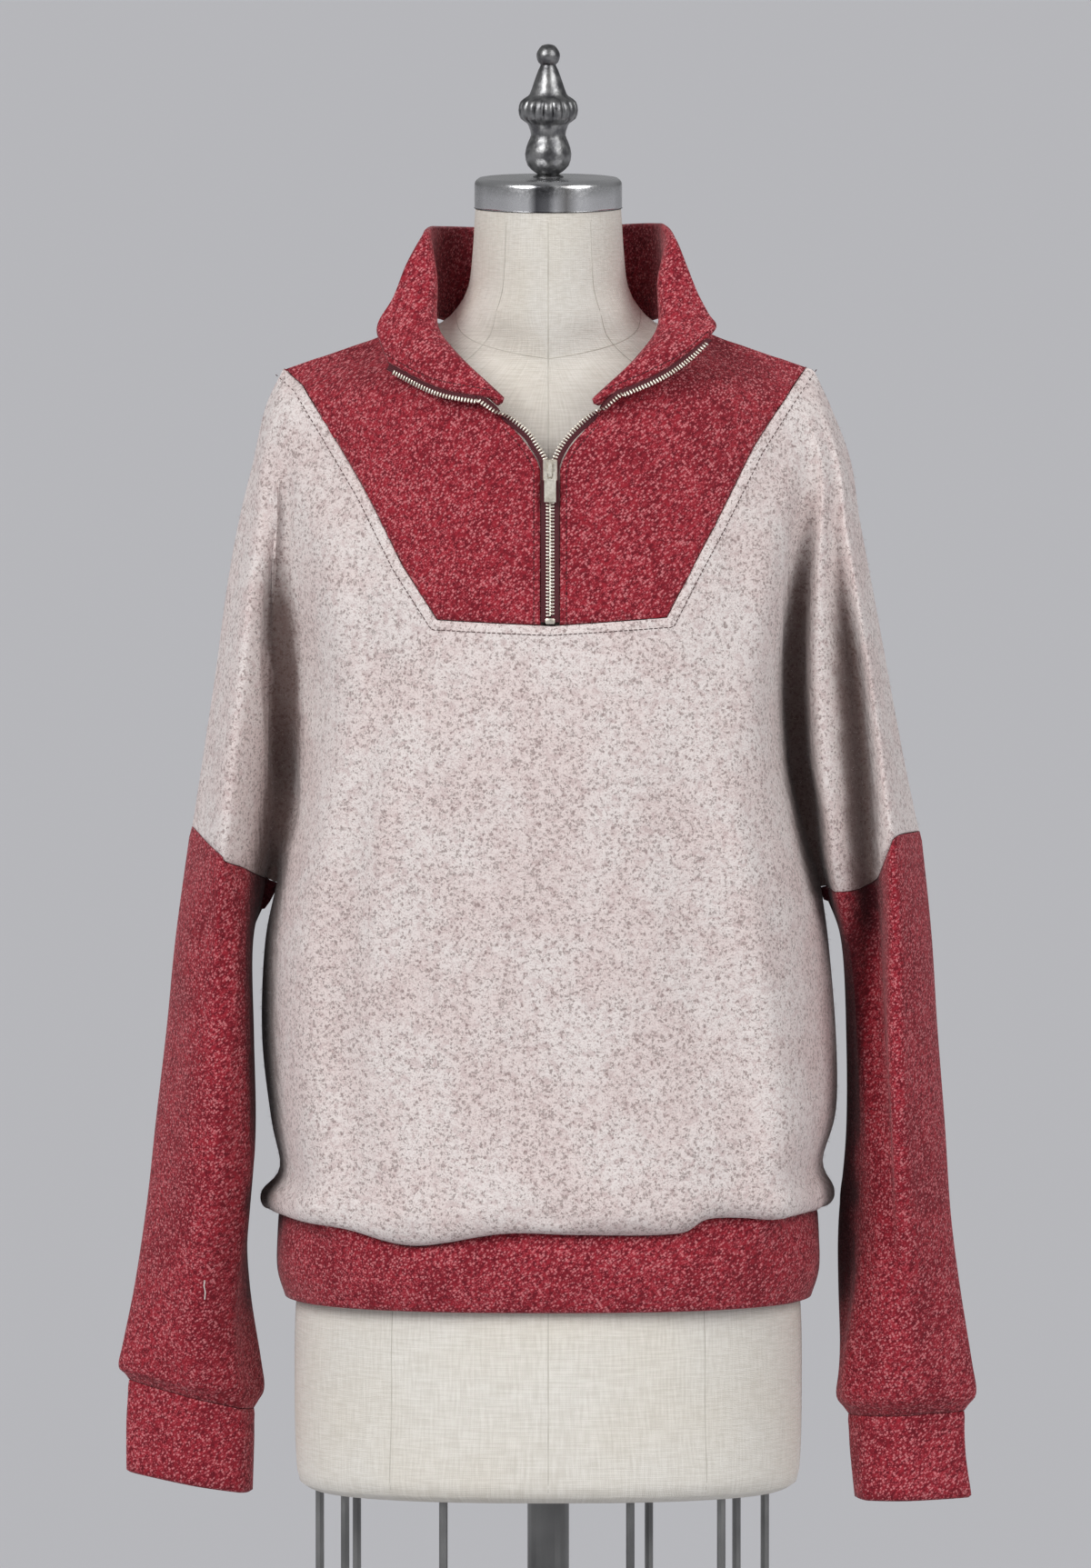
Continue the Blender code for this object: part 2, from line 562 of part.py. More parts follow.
def build_cloth():
    """The welded outer face of every piece but the collar, and the front's and back's grids."""
    cloth = Cloth()
    front = {}
    back = {}
    controls = {side: front_rows(side) for side in (LEFT, RIGHT)}
    centre = (controls[LEFT][:, 0] + controls[RIGHT][:, 0]) / 2
    for side, control in controls.items():
        control[:, 0] = centre
        front[side] = hem_dip(half_grid(control, side))
        behind = back_rows(side, control)
        behind[1:, 0, 2] = np.maximum(centre[1:, 2], [BACK_TOP_Z] + [0] * (len(centre) - 2))
        back[side] = half_grid(behind, side)
        # the hem's seam, side seam, overarm and shoulder are shared by the front and the back
        back[side][:UNDERARM_ROW + 1, -1] = front[side][:UNDERARM_ROW + 1, -1]
        back[side][UNDERARM_ROW:, VALLEY_COLUMN] = front[side][UNDERARM_ROW:, VALLEY_COLUMN]
        back[side][0, NECK_POINT_COLUMN:] = front[side][0, NECK_POINT_COLUMN:]
        for name, grid, out in (("front_panel", front[side], side < 0), ("back_panel", back[side], side > 0)):
            cloth.add_grid(grid[:UNDERARM_ROW + 1], name, not out)
            cloth.add_grid(grid[UNDERARM_ROW:, :VALLEY_COLUMN + 1], name, not out)
        seam_ring = np.concatenate([
            front[side][UNDERARM_ROW, VALLEY_COLUMN:-1],
            back[side][UNDERARM_ROW, :VALLEY_COLUMN:-1],
        ])
        seam_ring[0, 2] -= UNDERARM_EASE
        rings = sleeve_grid(side, seam_ring)
        steps = (2, 2, 2, 2, 2, 1, 1, 1, 1, 1)
        sleeve = spline(rings, steps)
        cuff_row = sum(steps[:CUFF_ROW])
        label = "left" if side == LEFT else "right"
        cloth.add_grid(sleeve[:cuff_row + 1], f"lower_sleeve_{label}", side > 0, closed=True)
        cloth.add_grid(sleeve[cuff_row:], f"cuff_{label}", side > 0, closed=True)
    hem = np.concatenate([
        front[RIGHT][-1, VALLEY_COLUMN:0:-1], front[LEFT][-1, :VALLEY_COLUMN],
        back[LEFT][-1, VALLEY_COLUMN:0:-1], back[RIGHT][-1, :VALLEY_COLUMN],
    ])
    rings = [hem]
    angle = np.arctan2(hem[:, 1] / 0.119, hem[:, 0] / 0.178)
    for values in BAND[1:]:
        row = dict(zip(BAND_COLUMNS, values))
        depth = np.where(hem[:, 1] < 0, -row["front_y"], row["back_y"])
        cos, sin = np.cos(angle), np.sin(angle)
        power = 2 / 2.5
        rings.append(np.stack([
            row["half_x"] * np.sign(cos) * np.abs(cos) ** power,
            depth * np.sign(sin) * np.abs(sin) ** power,
            np.full(len(hem), row["z"]),
        ], axis=1) * MM)
    cloth.add_grid(np.array(rings), "hem_band", False, closed=True)
    cut_yokes(cloth)
    cloth.bm.normal_update()
    return cloth, front, back


def cut_yokes(cloth):
    """Cuts the front along the yokes' outlines and the zip's opening, and names the faces inside each."""
    cloth.bm.normal_update()
    cloth.names += ["yoke_left", "yoke_right", "opening"]
    outlines = {}
    for side in (LEFT, RIGHT):
        outline = yoke_outline(side)
        outlines[side] = outline
        for start, end in zip(outline[:-2], outline[1:-1]):
            low_x, high_x = sorted((start[0], end[0]))
            low_z, high_z = sorted((start[1], end[1]))
            room = 0.016  # more than a face's reach

            def box(point):
                return low_x - room < point.x < high_x + room and low_z - room < point.z < high_z + room
            cloth.split_along(start, end, box)
    opening = mirrored(OPEN_EDGE[LEFT], LEFT)[::-1]
    opening[-1] = (ZIP_X - ZIP_HALF_GAP, opening[-1][1])
    opening += [(ZIP_X - ZIP_HALF_GAP, YOKE_BOTTOM_Z * MM), (ZIP_X + ZIP_HALF_GAP, YOKE_BOTTOM_Z * MM)]
    opening += [(ZIP_X + ZIP_HALF_GAP, OPEN_EDGE[RIGHT][0][1] * MM)] + mirrored(OPEN_EDGE[RIGHT][1:], RIGHT)
    opening += [(0.06, 1.60), (-0.06, 1.60)]
    for face in cloth.bm.faces:
        if not cloth.is_front(face):
            continue
        middle = face.calc_center_median()
        place = (middle.x, middle.z)
        if in_outline(place, opening):
            face.material_index = cloth.names.index("opening")
        elif in_outline(place, outlines[LEFT]):
            face.material_index = cloth.names.index("yoke_left")
        elif in_outline(place, outlines[RIGHT]):
            face.material_index = cloth.names.index("yoke_right")
    gone = [f for f in cloth.bm.faces if f.material_index == cloth.names.index("opening")]
    bmesh.ops.delete(cloth.bm, geom=gone, context="FACES")
    cloth.bm.verts.index_update()


def collar_grid(front, back):
    """Columns from the left zip end round the back to the right, rows from the seam to the top edge."""
    stations = []
    for side in (LEFT, RIGHT):
        edge = front[side][0, :NECK_POINT_COLUMN + 1:2]
        behind = back[side][0, :NECK_POINT_COLUMN + 1:2]
        path = np.concatenate([edge[1:], behind[::-1][1:]])
        fine = spline(path, (8,) * (len(path) - 1))
        half = []
        for values in COLLAR[side]:
            row = dict(zip(COLLAR_COLUMNS, values))
            seam = fine[min(int(round(row["along"] * 8)), len(fine) - 1)]
            middle = np.array([row["mid_x"] * side, row["mid_y"], row["mid_z"]]) * MM
            top = np.array([row["top_x"] * side, row["top_y"], row["top_z"]]) * MM
            rise = (middle - seam) / np.linalg.norm(middle - seam)
            rolled = min(max((1.7 - row["along"]) / 0.6, 0), 1)
            rise = rise * (1 - rolled) + np.array(COLLAR_FRONT_RISE) * rolled
            rise /= np.linalg.norm(rise)
            half.append([seam + rise * COLLAR_LIFT, seam + rise * COLLAR_STAND, middle, top])
        stations.append(half)
    whole = np.array(stations[0] + stations[1][-2::-1])
    wide = spline(whole, (2,) * (len(whole) - 1))
    return spline(wide.transpose(1, 0, 2), (1, 3, 3))


def sheet_shell(grid, wall):
    """A closed wall about the middle of an open grid, with the grid's own normals."""
    rows, columns = grid.shape[:2]
    down = np.gradient(grid, axis=0)
    across = np.gradient(grid, axis=1)
    normals = np.cross(across, down)
    normals /= np.linalg.norm(normals, axis=2, keepdims=True)
    outer = (grid + normals * wall / 2).reshape(-1, 3)
    inner = (grid - normals * wall / 2).reshape(-1, 3)
    count = rows * columns
    faces = []
    for i in range(rows - 1):
        for j in range(columns - 1):
            a, b = i * columns + j, (i + 1) * columns + j
            faces.append([a, b, b + 1, a + 1])
            faces.append([a + count, a + 1 + count, b + 1 + count, b + count])
    rim = [(0, j) for j in range(columns)] + [(i, columns - 1) for i in range(1, rows)]
    rim += [(rows - 1, j) for j in range(columns - 2, -1, -1)] + [(i, 0) for i in range(rows - 2, 0, -1)]
    rim = [i * columns + j for i, j in rim]
    for a, b in zip(rim, rim[1:] + rim[:1]):
        faces.append([a, b, b + count, a + count])
    return np.concatenate([outer, inner]), faces


def facing_out(name, points, faces):
    """A mesh of these faces with its normals recalculated to point out."""
    mesh = mesh_from(name, points, faces)
    bm = bmesh.new()
    bm.from_mesh(mesh)
    bmesh.ops.triangulate(bm, faces=bm.faces[:])
    bmesh.ops.recalc_face_normals(bm, faces=bm.faces[:])
    bm.to_mesh(mesh)
    bm.free()
    return mesh


def front_depth(grid, x, z):
    """The front's y at an (x, z) place: the nearest points of its grid, weighted by nearness."""
    flat = grid[:UNDERARM_ROW].reshape(-1, 3)
    away = np.hypot(flat[:, 0] - x, flat[:, 2] - z)
    near = np.argsort(away)[:4]
    weight = 1 / (away[near] + 1e-5) ** 2
    return float(np.sum(flat[near, 1] * weight) / np.sum(weight))


def tape_path(side, front, collar):
    """Places and widthwise directions along one zip tape, beside the slider, the open edge and the collar."""
    inset = TAPE_WIDTH / 2 + 0.0002
    zip_edge = ZIP_X + side * ZIP_HALF_GAP
    edge = [(zip_edge, z * MM) for z in np.linspace(YOKE_BOTTOM_Z + 2, OPEN_EDGE[side][0][1] - 1, 7)]
    edge += mirrored(OPEN_EDGE[side][1:-3], side)
    edge = np.array(edge)
    along = np.gradient(edge, axis=0)
    along /= np.linalg.norm(along, axis=1, keepdims=True)
    towards = np.stack([along[:, 1], -along[:, 0]], axis=1) * -side
    places, widths = [], []
    for (x, z), (across, up) in zip(edge, towards):
        y = front_depth(front[side], x, z) + CLOTH_WALL / 2
        places.append((x + across * inset, y, z + up * inset))
        widths.append((across, 0, up))
    rows = collar[:, 0] if side == LEFT else collar[:, -1]
    beside = collar[:, 1] if side == LEFT else collar[:, -2]
    rising = np.gradient(rows, axis=0)
    rising /= np.linalg.norm(rising, axis=1, keepdims=True)
    for here, inner, rise in zip(rows[2:], beside[2:], rising[2:]):
        away = here - inner
        away -= rise * np.dot(away, rise)
        away /= np.linalg.norm(away)
        places.append(here + away * (inset + 0.0003))
        widths.append(away)
    return np.array(places), np.array(widths)


def ribbon(path, widthwise, width, thick):
    """A flat strip along a path: four corners at each point, joined by quads, with closed ends."""
    along = np.gradient(path, axis=0)
    along /= np.linalg.norm(along, axis=1, keepdims=True)
    widthwise = widthwise - along * np.sum(widthwise * along, axis=1, keepdims=True)
    widthwise /= np.linalg.norm(widthwise, axis=1, keepdims=True)
    normal = np.cross(along, widthwise)
    corners = [path + widthwise * width * u + normal * thick * v
               for u, v in ((-0.5, -0.5), (0.5, -0.5), (0.5, 0.5), (-0.5, 0.5))]
    points = np.stack(corners, axis=1).reshape(-1, 3)
    faces = [[0, 1, 2, 3]]
    for i in range(len(path) - 1):
        for k in range(4):
            a, b = i * 4 + k, i * 4 + (k + 1) % 4
            faces.append([a, b, b + 4, a + 4])
    last = (len(path) - 1) * 4
    faces.append([last + 3, last + 2, last + 1, last])
    return points, faces


def loft(rings):
    """A closed solid through rings of equal counts, capped at both ends."""
    rings = np.array(rings)
    count = rings.shape[1]
    points = rings.reshape(-1, 3)
    faces = [list(range(count)), [len(points) - count + k for k in range(count)][::-1]]
    for i in range(len(rings) - 1):
        for j in range(count):
            k = (j + 1) % count
            a, b, c, d = i * count + j, i * count + k, (i + 1) * count + k, (i + 1) * count + j
            faces.append([a, b, c, d])
    return points, faces


def turned(name, profile, surface, steps=24):
    """A profile of radius and height, top to bottom, turned round the pole's axis."""
    mesh = bpy.data.meshes.new(name)
    points = [(radius * MM, 0, z * MM) for radius, z in profile]
    mesh.from_pydata(points, [(n, n + 1) for n in range(len(points) - 1)], [])
    made = add_object(name, mesh, surface)
    screw = made.modifiers.new("Screw", "SCREW")
    screw.steps = steps
    screw.render_steps = steps
    screw.use_merge_vertices = True
    screw.merge_threshold = 0.00001
    return made


def wire(name, points, radius, surface, cyclic=False):
    """A round wire through points, as a curve with filled ends."""
    curve = bpy.data.curves.new(name, "CURVE")
    curve.dimensions = "3D"
    curve.bevel_depth = radius
    curve.bevel_resolution = 2
    curve.use_fill_caps = True
    line = curve.splines.new("POLY")
    line.points.add(len(points) - 1)
    for point, place in zip(line.points, points):
        point.co = (*place, 1.0)
    line.use_cyclic_u = cyclic
    curve.materials.append(surface)
    made = bpy.data.objects.new(name, curve)
    PART.objects.link(made)
    return made


def block(name, low, high, group, surface=None, bevel=0.0):
    """A box between two corners in the slider's own millimetres: x across, y into the cloth, z up."""
    mesh = bpy.data.meshes.new(name)
    bm = bmesh.new()
    bmesh.ops.create_cube(bm, size=1.0)
    size = (np.array(high) - np.array(low)) * MM
    middle = (np.array(high) + np.array(low)) / 2 * MM
    bmesh.ops.transform(bm, matrix=Matrix.Diagonal((*size, 1.0)), verts=bm.verts)
    bmesh.ops.translate(bm, vec=middle, verts=bm.verts)
    if bevel:
        bmesh.ops.bevel(bm, geom=bm.edges[:], offset=bevel * MM, segments=1, affect="EDGES")
    bm.to_mesh(mesh)
    bm.free()
    made = bpy.data.objects.new(name, mesh)
    group.objects.link(made)
    if surface:
        mesh.materials.append(surface)
    else:
        made.hide_render = True
        made.display_type = "WIRE"
    return made


def combine(target, other, operation):
    step = target.modifiers.new(operation.title(), "BOOLEAN")
    step.operation = operation
    step.object = other
    step.solver = "EXACT"


def build_slider(front):
    """The slider astride the zip, with its bridge, and the pull tab whose bar lies under the bridge."""
    metal = material("zip_metal", (0.62, 0.60, 0.55), 0.3, 1.0)
    seat = bpy.data.objects.new("slider_seat", None)
    PART.objects.link(seat)
    above = front_depth(front[LEFT], 0.0, SLIDER_Z + 0.006)
    below = front_depth(front[LEFT], 0.0, SLIDER_Z - 0.030)
    tilt = math.atan2(above - below, 0.036)
    seat.location = (ZIP_X, front_depth(front[LEFT], 0.0, SLIDER_Z), SLIDER_Z)
    seat.rotation_euler = (-tilt, 0, 0)
    half = SLIDER_WIDTH / MM / 2
    reach = SLIDER_LENGTH / MM / 2
    slider = block("zip_slider", (-half, -2.6, -reach), (half, 1.0, reach), PART, metal, 0.5)
    bridge = block("bridge", *BRIDGE, CUTTERS)
    under = block("under_bridge", *UNDER_BRIDGE, CUTTERS)
    combine(slider, bridge, "UNION")
    combine(slider, under, "DIFFERENCE")
    width = PULL_WIDTH / MM / 2
    low = (-width, -PULL_HALF_THICK, PULL_TOP - PULL_LENGTH / MM)
    pull = block("zip_pull", low, (width, PULL_HALF_THICK, PULL_TOP), PART, metal)
    window = block("pull_window", *PULL_WINDOW, CUTTERS)
    combine(pull, window, "DIFFERENCE")
    for piece in (slider, bridge, under):
        piece.parent = seat
    for piece in (pull, window):
        piece.parent = seat
        piece.location = (0, PULL_AXIS[0] * MM, PULL_AXIS[1] * MM)


def build_garment():
    red = material("red_jersey", (0.30, 0.035, 0.045), 0.9)
    cream = material("cream_jersey", (0.62, 0.50, 0.47), 0.95)
    cloth, front, back = build_cloth()
    looks = {"front_panel": cream, "back_panel": cream}
    for name in cloth.names:
        if name == "opening":
            continue
        doubled = name.startswith("cuff") or name == "hem_band"
        gap = SEAM_GAP if name in ("front_panel", "yoke_left", "yoke_right") else WIDE_SEAM_GAP
        points, faces = cloth.shell(name, DOUBLE_WALL if doubled else CLOTH_WALL, gap)
        add_object(name, facing_out(name, points, faces), looks.get(name, red))
    cloth.bm.free()
    collar = collar_grid(front, back)
    add_object("collar", facing_out("collar", *sheet_shell(collar, DOUBLE_WALL)), red)
    tape = material("zip_tape", (0.10, 0.012, 0.018), 0.8)
    for side, label in ((LEFT, "left"), (RIGHT, "right")):
        points, faces = ribbon(*tape_path(side, front, collar), TAPE_WIDTH, TAPE_THICK)
        add_object(f"zip_tape_{label}", facing_out(f"zip_tape_{label}", points, faces), tape)
    return front


def build_form():
    linen = material("linen", (0.78, 0.74, 0.66), 0.9)
    steel = material("steel", (0.45, 0.45, 0.44), 0.35, 1.0)
    chrome = material("chrome", (0.7, 0.7, 0.7), 0.15, 1.0)
    pewter = material("pewter", (0.30, 0.30, 0.30), 0.45, 1.0)
    rings = []
    for values in FORM:
        row = dict(zip(FORM_COLUMNS, values))
        rings.append(superellipse_ring(
            row["half_x"], row["front_y"], row["back_y"], row["z"], row["power"], FORM_COLUMNS_ROUND) * MM)
    add_object("form_torso", facing_out("form_torso", *loft(rings)), linen)
    top = FORM_TOP / MM + 0.3
    radius = CAP_RADIUS / MM
    height = CAP_HEIGHT / MM
    turned("neck_cap", (
        (0, top + height), (radius - 4.5, top + height - 0.3), (radius - 1.4, top + height - 1.8),
        (radius, top + height - 5), (radius, top + 0.6), (radius - 0.6, top), (0, top),
    ), chrome, steps=32)
    turned("finial", FINIAL_PROFILE, pewter)
    base = BASE_RADIUS / MM
    thick = BASE_HEIGHT / MM
    turned("base", (
        (0, thick + 10), (18, thick + 10), (22, thick + 4), (60, thick), (base - 6, thick - 7), (base, thick - 12),
        (base, 1.5), (base - 1.5, 0), (0, 0),
    ), steel, steps=40)
    turned("pole", (
        (0, CAGE_TOP / MM), (POLE_RADIUS / MM, CAGE_TOP / MM),
        (POLE_RADIUS / MM, thick + 10.3), (0, thick + 10.3),
    ), steel, steps=20)
    for number, (x, facing) in enumerate(CAGE_WIRES, 1):
        depth = CAGE_HALF_Y * math.sqrt(1 - (x * MM / CAGE_HALF_X) ** 2)
        place = (x * MM, -depth if facing == "front" else depth)
        wire(f"cage_rod_{number}", (
            (*place, CAGE_TOP), (*place, CAGE_BOTTOM + CAGE_RING_WIRE + 0.0003)), CAGE_WIRE, steel)
    ring = [
        (CAGE_HALF_X * math.cos(a), CAGE_HALF_Y * math.sin(a), CAGE_BOTTOM)
        for a in np.arange(48) / 48 * 2 * math.pi
    ]
    wire("cage_ring", ring, CAGE_RING_WIRE, steel, cyclic=True)


clear_scene()
PART = collection("half_zip_sweatshirt_on_form")
CUTTERS = collection("cutters")
build_slider(build_garment())
build_form()
bpy.context.view_layer.update()
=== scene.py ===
"""Looks of a knitted half zip sweatshirt on a linen dress form with a pole, a wire cage and a base."""

import math

import bmesh
import bpy
import numpy as np
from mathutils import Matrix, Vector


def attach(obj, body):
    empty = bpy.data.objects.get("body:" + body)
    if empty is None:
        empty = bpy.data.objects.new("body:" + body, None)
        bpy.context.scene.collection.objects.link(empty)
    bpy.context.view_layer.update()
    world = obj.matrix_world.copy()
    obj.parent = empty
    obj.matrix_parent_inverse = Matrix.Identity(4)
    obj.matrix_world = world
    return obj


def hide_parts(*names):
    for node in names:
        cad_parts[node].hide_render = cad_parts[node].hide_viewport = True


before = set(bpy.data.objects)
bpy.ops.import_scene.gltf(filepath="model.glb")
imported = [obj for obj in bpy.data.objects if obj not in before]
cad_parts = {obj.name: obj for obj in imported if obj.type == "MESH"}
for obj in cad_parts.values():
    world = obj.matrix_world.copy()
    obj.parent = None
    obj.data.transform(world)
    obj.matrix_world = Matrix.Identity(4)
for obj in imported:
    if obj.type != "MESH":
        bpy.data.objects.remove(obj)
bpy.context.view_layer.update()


# ---------------------------------------------------------------------------------------------------
# The floor stand: a turned steel base, a two-part pole and the skirt cage's welded wires.
# All are plain steel with a satin finish that is a little cloudy from handling. They keep their
# solids and get their metal here.

STEEL_LIGHT = (0.27, 0.27, 0.265, 1)
STEEL_DARK = (0.17, 0.17, 0.17, 1)


def group_of(name, inputs, outputs):
    """An empty shader node group with these sockets: name, kind and default value."""
    group = bpy.data.node_groups.new(name, "ShaderNodeTree")
    for label, kind, value in inputs:
        socket = group.interface.new_socket(label, in_out="INPUT", socket_type=kind)
        if value is not None:
            socket.default_value = value
    for label, kind in outputs:
        group.interface.new_socket(label, in_out="OUTPUT", socket_type=kind)
    return group, group.nodes.new("NodeGroupInput"), group.nodes.new("NodeGroupOutput")


def node(tree, kind, links=(), **values):
    """A node with properties or socket values by name, and links from (socket name, source socket)."""
    made = tree.nodes.new(kind)
    for key, value in values.items():
        if hasattr(made, key):
            setattr(made, key, value)
        else:
            made.inputs[key.replace("_", " ")].default_value = value
    for name, source in links:
        tree.links.new(source, made.inputs[name])
    return made


def ramp(tree, factor, *stops):
    """A colour ramp through (place, colour) stops."""
    made = node(tree, "ShaderNodeValToRGB", [("Fac", factor)])
    elements = made.color_ramp.elements
    while len(elements) < len(stops):
        elements.new(0.5)
    for element, (place, color) in zip(elements, stops):
        element.position = place
        element.color = color
    return made.outputs["Color"]


def noise(tree, place, scale, detail=3.0, **values):
    """A noise's factor at a place."""
    return node(tree, "ShaderNodeTexNoise", [("Vector", place)], Scale=scale, Detail=detail,
                **values).outputs["Fac"]


def combined(tree, operation, first, second):
    """A maths node's result; each of the two is a number or a socket."""
    made = node(tree, "ShaderNodeMath", operation=operation)
    for number, value in enumerate((first, second)):
        if isinstance(value, float):
            made.inputs[number].default_value = value
        else:
            tree.links.new(value, made.inputs[number])
    return made.outputs[0]


def span(tree, source, low, high, to_low=0.0, to_high=1.0):
    """A value carried from one range to another, eased at both ends."""
    made = node(tree, "ShaderNodeMapRange", [("Value", source)], interpolation_type="SMOOTHSTEP")
    for label, value in (("From Min", low), ("From Max", high), ("To Min", to_low), ("To Max", to_high)):
        made.inputs[label].default_value = value
    return made.outputs["Result"]


def new_surface(name, **values):
    """A material with these values on its shader: itself, its node tree and its shader."""
    made = bpy.data.materials.new(name)
    made.use_nodes = True
    shader = made.node_tree.nodes["Principled BSDF"]
    for label, value in values.items():
        shader.inputs[label.replace("_", " ")].default_value = value
    return made, made.node_tree, shader


def coat(tree, shader, colour, height, strength, distance):
    """The shader's colour, and its bump from a height."""
    bump = node(tree, "ShaderNodeBump", [("Height", height)], Strength=strength, Distance=distance)
    tree.links.new(colour, shader.inputs["Base Color"])
    tree.links.new(bump.outputs["Normal"], shader.inputs["Normal"])


def cloudy_group():
    """Slow clouds and fine grain on Object coordinates: a colour between two, and a height."""
    group, given, out = group_of(
        "cloudy_finish",
        [("Light", "NodeSocketColor", (1, 1, 1, 1)), ("Dark", "NodeSocketColor", (0, 0, 0, 1)),
         ("Cloud Size", "NodeSocketFloat", 40.0), ("Grain Size", "NodeSocketFloat", 900.0)],
        [("Color", "NodeSocketColor"), ("Height", "NodeSocketFloat")])
    place = node(group, "ShaderNodeTexCoord").outputs["Object"]
    clouds = node(group, "ShaderNodeTexNoise",
                  [("Vector", place), ("Scale", given.outputs["Cloud Size"])], Detail=3.0)
    grain = node(group, "ShaderNodeTexNoise",
                 [("Vector", place), ("Scale", given.outputs["Grain Size"])], Detail=2.0)
    mixed = node(group, "ShaderNodeMix", data_type="RGBA")
    group.links.new(span(group, clouds.outputs["Fac"], 0.35, 0.65), mixed.inputs["Factor"])
    group.links.new(given.outputs["Dark"], mixed.inputs[6])
    group.links.new(given.outputs["Light"], mixed.inputs[7])
    group.links.new(mixed.outputs[2], out.inputs["Color"])
    group.links.new(grain.outputs["Fac"], out.inputs["Height"])
    return group


CLOUDY = cloudy_group()


def metal(name, light, dark, roughness, grain_depth, cloud=40.0, grain=900.0, metallic=1.0):
    """A metal: cloudy colour, a roughness that follows the grain, and a grain bump."""
    made, tree, shader = new_surface(name, Metallic=metallic)
    finish = node(tree, "ShaderNodeGroup", node_tree=CLOUDY,
                  Light=light, Dark=dark, Cloud_Size=cloud, Grain_Size=grain)
    height = finish.outputs["Height"]
    coat(tree, shader, finish.outputs["Color"], height, 0.4, grain_depth)
    rough = span(tree, height, 0.2, 0.8, roughness - 0.06, roughness + 0.06)
    tree.links.new(rough, shader.inputs["Roughness"])
    return made


def give_metal(names, surface):
    """The solids of these names keep their shape and get a metal."""
    for name in names:
        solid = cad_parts[name]
        solid.data.materials.clear()
        solid.data.materials.append(surface)


steel = metal("satin_steel", STEEL_LIGHT, STEEL_DARK, 0.36, 0.0002, cloud=14.0)
give_metal(["base", "pole", "cage_ring"] + [f"cage_rod_{number}" for number in range(1, 10)], steel)


# ---------------------------------------------------------------------------------------------------
# The dress form's torso: papier-mache under drawn linen, padded round at the hips. Its cover is cut
# in eight gores from neck to hem, seamed with fine thread, and in a neck piece seamed at the neckline.

MM = 0.001
FORM = (  # z, half width, front y, back y, superellipse power
    (800, 156, -102, 101, 2.4), (803, 162, -107, 105, 2.4), (812, 166, -111, 108, 2.4),
    (860, 167.5, -113, 109, 2.3), (930, 166, -112, 108, 2.3), (1000, 155, -106, 104, 2.2),
    (1090, 122, -90, 86, 2.1), (1180, 132, -98, 82, 2.1), (1280, 146, -113, 86, 2.2),
    (1340, 146, -110, 88, 2.3), (1400, 150, -96, 86, 2.2), (1450, 154, -84, 80, 2.1),
    (1490, 158, -74, 70, 2.0), (1515, 159, -62, 56, 1.8), (1532, 156, -56, 48, 1.5),
    (1544.5, 146, -52, 40, 1.25), (1552, 126, -50, 38, 1.2), (1558.8, 106, -50, 39, 1.25),
    (1564.6, 86, -50, 40, 1.4), (1571.5, 70, -50, 43, 1.7), (1581, 60, -50, 48, 2.0),
    (1595, 52.5, -49.5, 49, 2.0), (1620, 49.5, -49, 49, 2.0), (1646.5, 48, -48, 48, 2.0),
)
FORM_AROUND = 192
FORM_GIRTH = 0.9
GORES = (0.0, 0.153, 0.25, 0.347, 0.5, 0.653, 0.75, 0.847)  # shares of a turn from the viewer's right
GORE_BOTTOM, GORE_TOP, GORE_STEPS = 0.803, 1.640, 160
NECKLINE_Z, NECKLINE_DIP, NECKLINE_STEPS = 1581, 30, 240
SEAM_WIDE = 0.7 * MM
LINEN_PALE = (0.84, 0.81, 0.75, 1)
LINEN_DARK = (0.68, 0.645, 0.58, 1)
LINEN_WARMTH = (0.93, 0.88, 0.80, 1)


def spline(points, steps):
    """Catmull-Rom curves through the first axis of an array, with a number of steps for each span:
    half of 2b + (c-a)t + (2a-5b+4c-d)t2 + (3b-a-3c+d)t3 between b and c."""
    points = np.asarray(points, float)
    padded = np.concatenate([[2 * points[0] - points[1]], points, [2 * points[-1] - points[-2]]])
    rows = []
    for number, count in enumerate(steps):
        a, b, c, d = padded[number:number + 4]
        t = (np.arange(count) / count).reshape((-1,) + (1,) * (points.ndim - 1))
        rows.append((2 * b + (c - a) * t + (2 * a - 5 * b + 4 * c - d) * t ** 2
                     + (3 * b - a - 3 * c + d) * t ** 3) / 2)
    return np.concatenate(rows + [points[-1:]])


def grid_faces(rows, columns, closed=False):
    """Quads of a grid of points kept row by row; a closed grid's last column meets its first."""
    i, j = np.meshgrid(np.arange(rows - 1), np.arange(columns if closed else columns - 1), indexing="ij")
    k = (j + 1) % columns
    quads = [i * columns + j, (i + 1) * columns + j, (i + 1) * columns + k, i * columns + k]
    return np.stack(quads, axis=-1).reshape(-1, 4)


def new_piece(name, points, faces, surface, slot, body="root", crease=40):
    """An object at the origin from points and faces, with its material and its body; its slot is not used."""
    mesh = bpy.data.meshes.new(name)
    mesh.from_pydata(np.asarray(points).reshape(-1, 3).tolist(), [], [list(map(int, face)) for face in faces])
    mesh.validate()
    mesh.materials.append(surface)
    mesh.shade_smooth()
    mesh.set_sharp_from_angle(angle=math.radians(crease))
    made = bpy.data.objects.new(name, mesh)
    bpy.context.scene.collection.objects.link(made)
    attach(made, body)
    return made


def values_of(items, name, width=1, kind=float):
    """One value of every item of a mesh, as an array with a row for each where it has a width."""
    flat = np.empty(len(items) * width, kind)
    items.foreach_get(name, flat)
    return flat.reshape(-1, width) if width > 1 else flat


def tidy_normals(piece):
    """Merges doubled points and turns every face of a closed piece outwards."""
    work = bmesh.new()
    work.from_mesh(piece.data)
    bmesh.ops.remove_doubles(work, verts=work.verts, dist=1e-6)
    bmesh.ops.recalc_face_normals(work, faces=work.faces)
    work.to_mesh(piece.data)
    work.free()


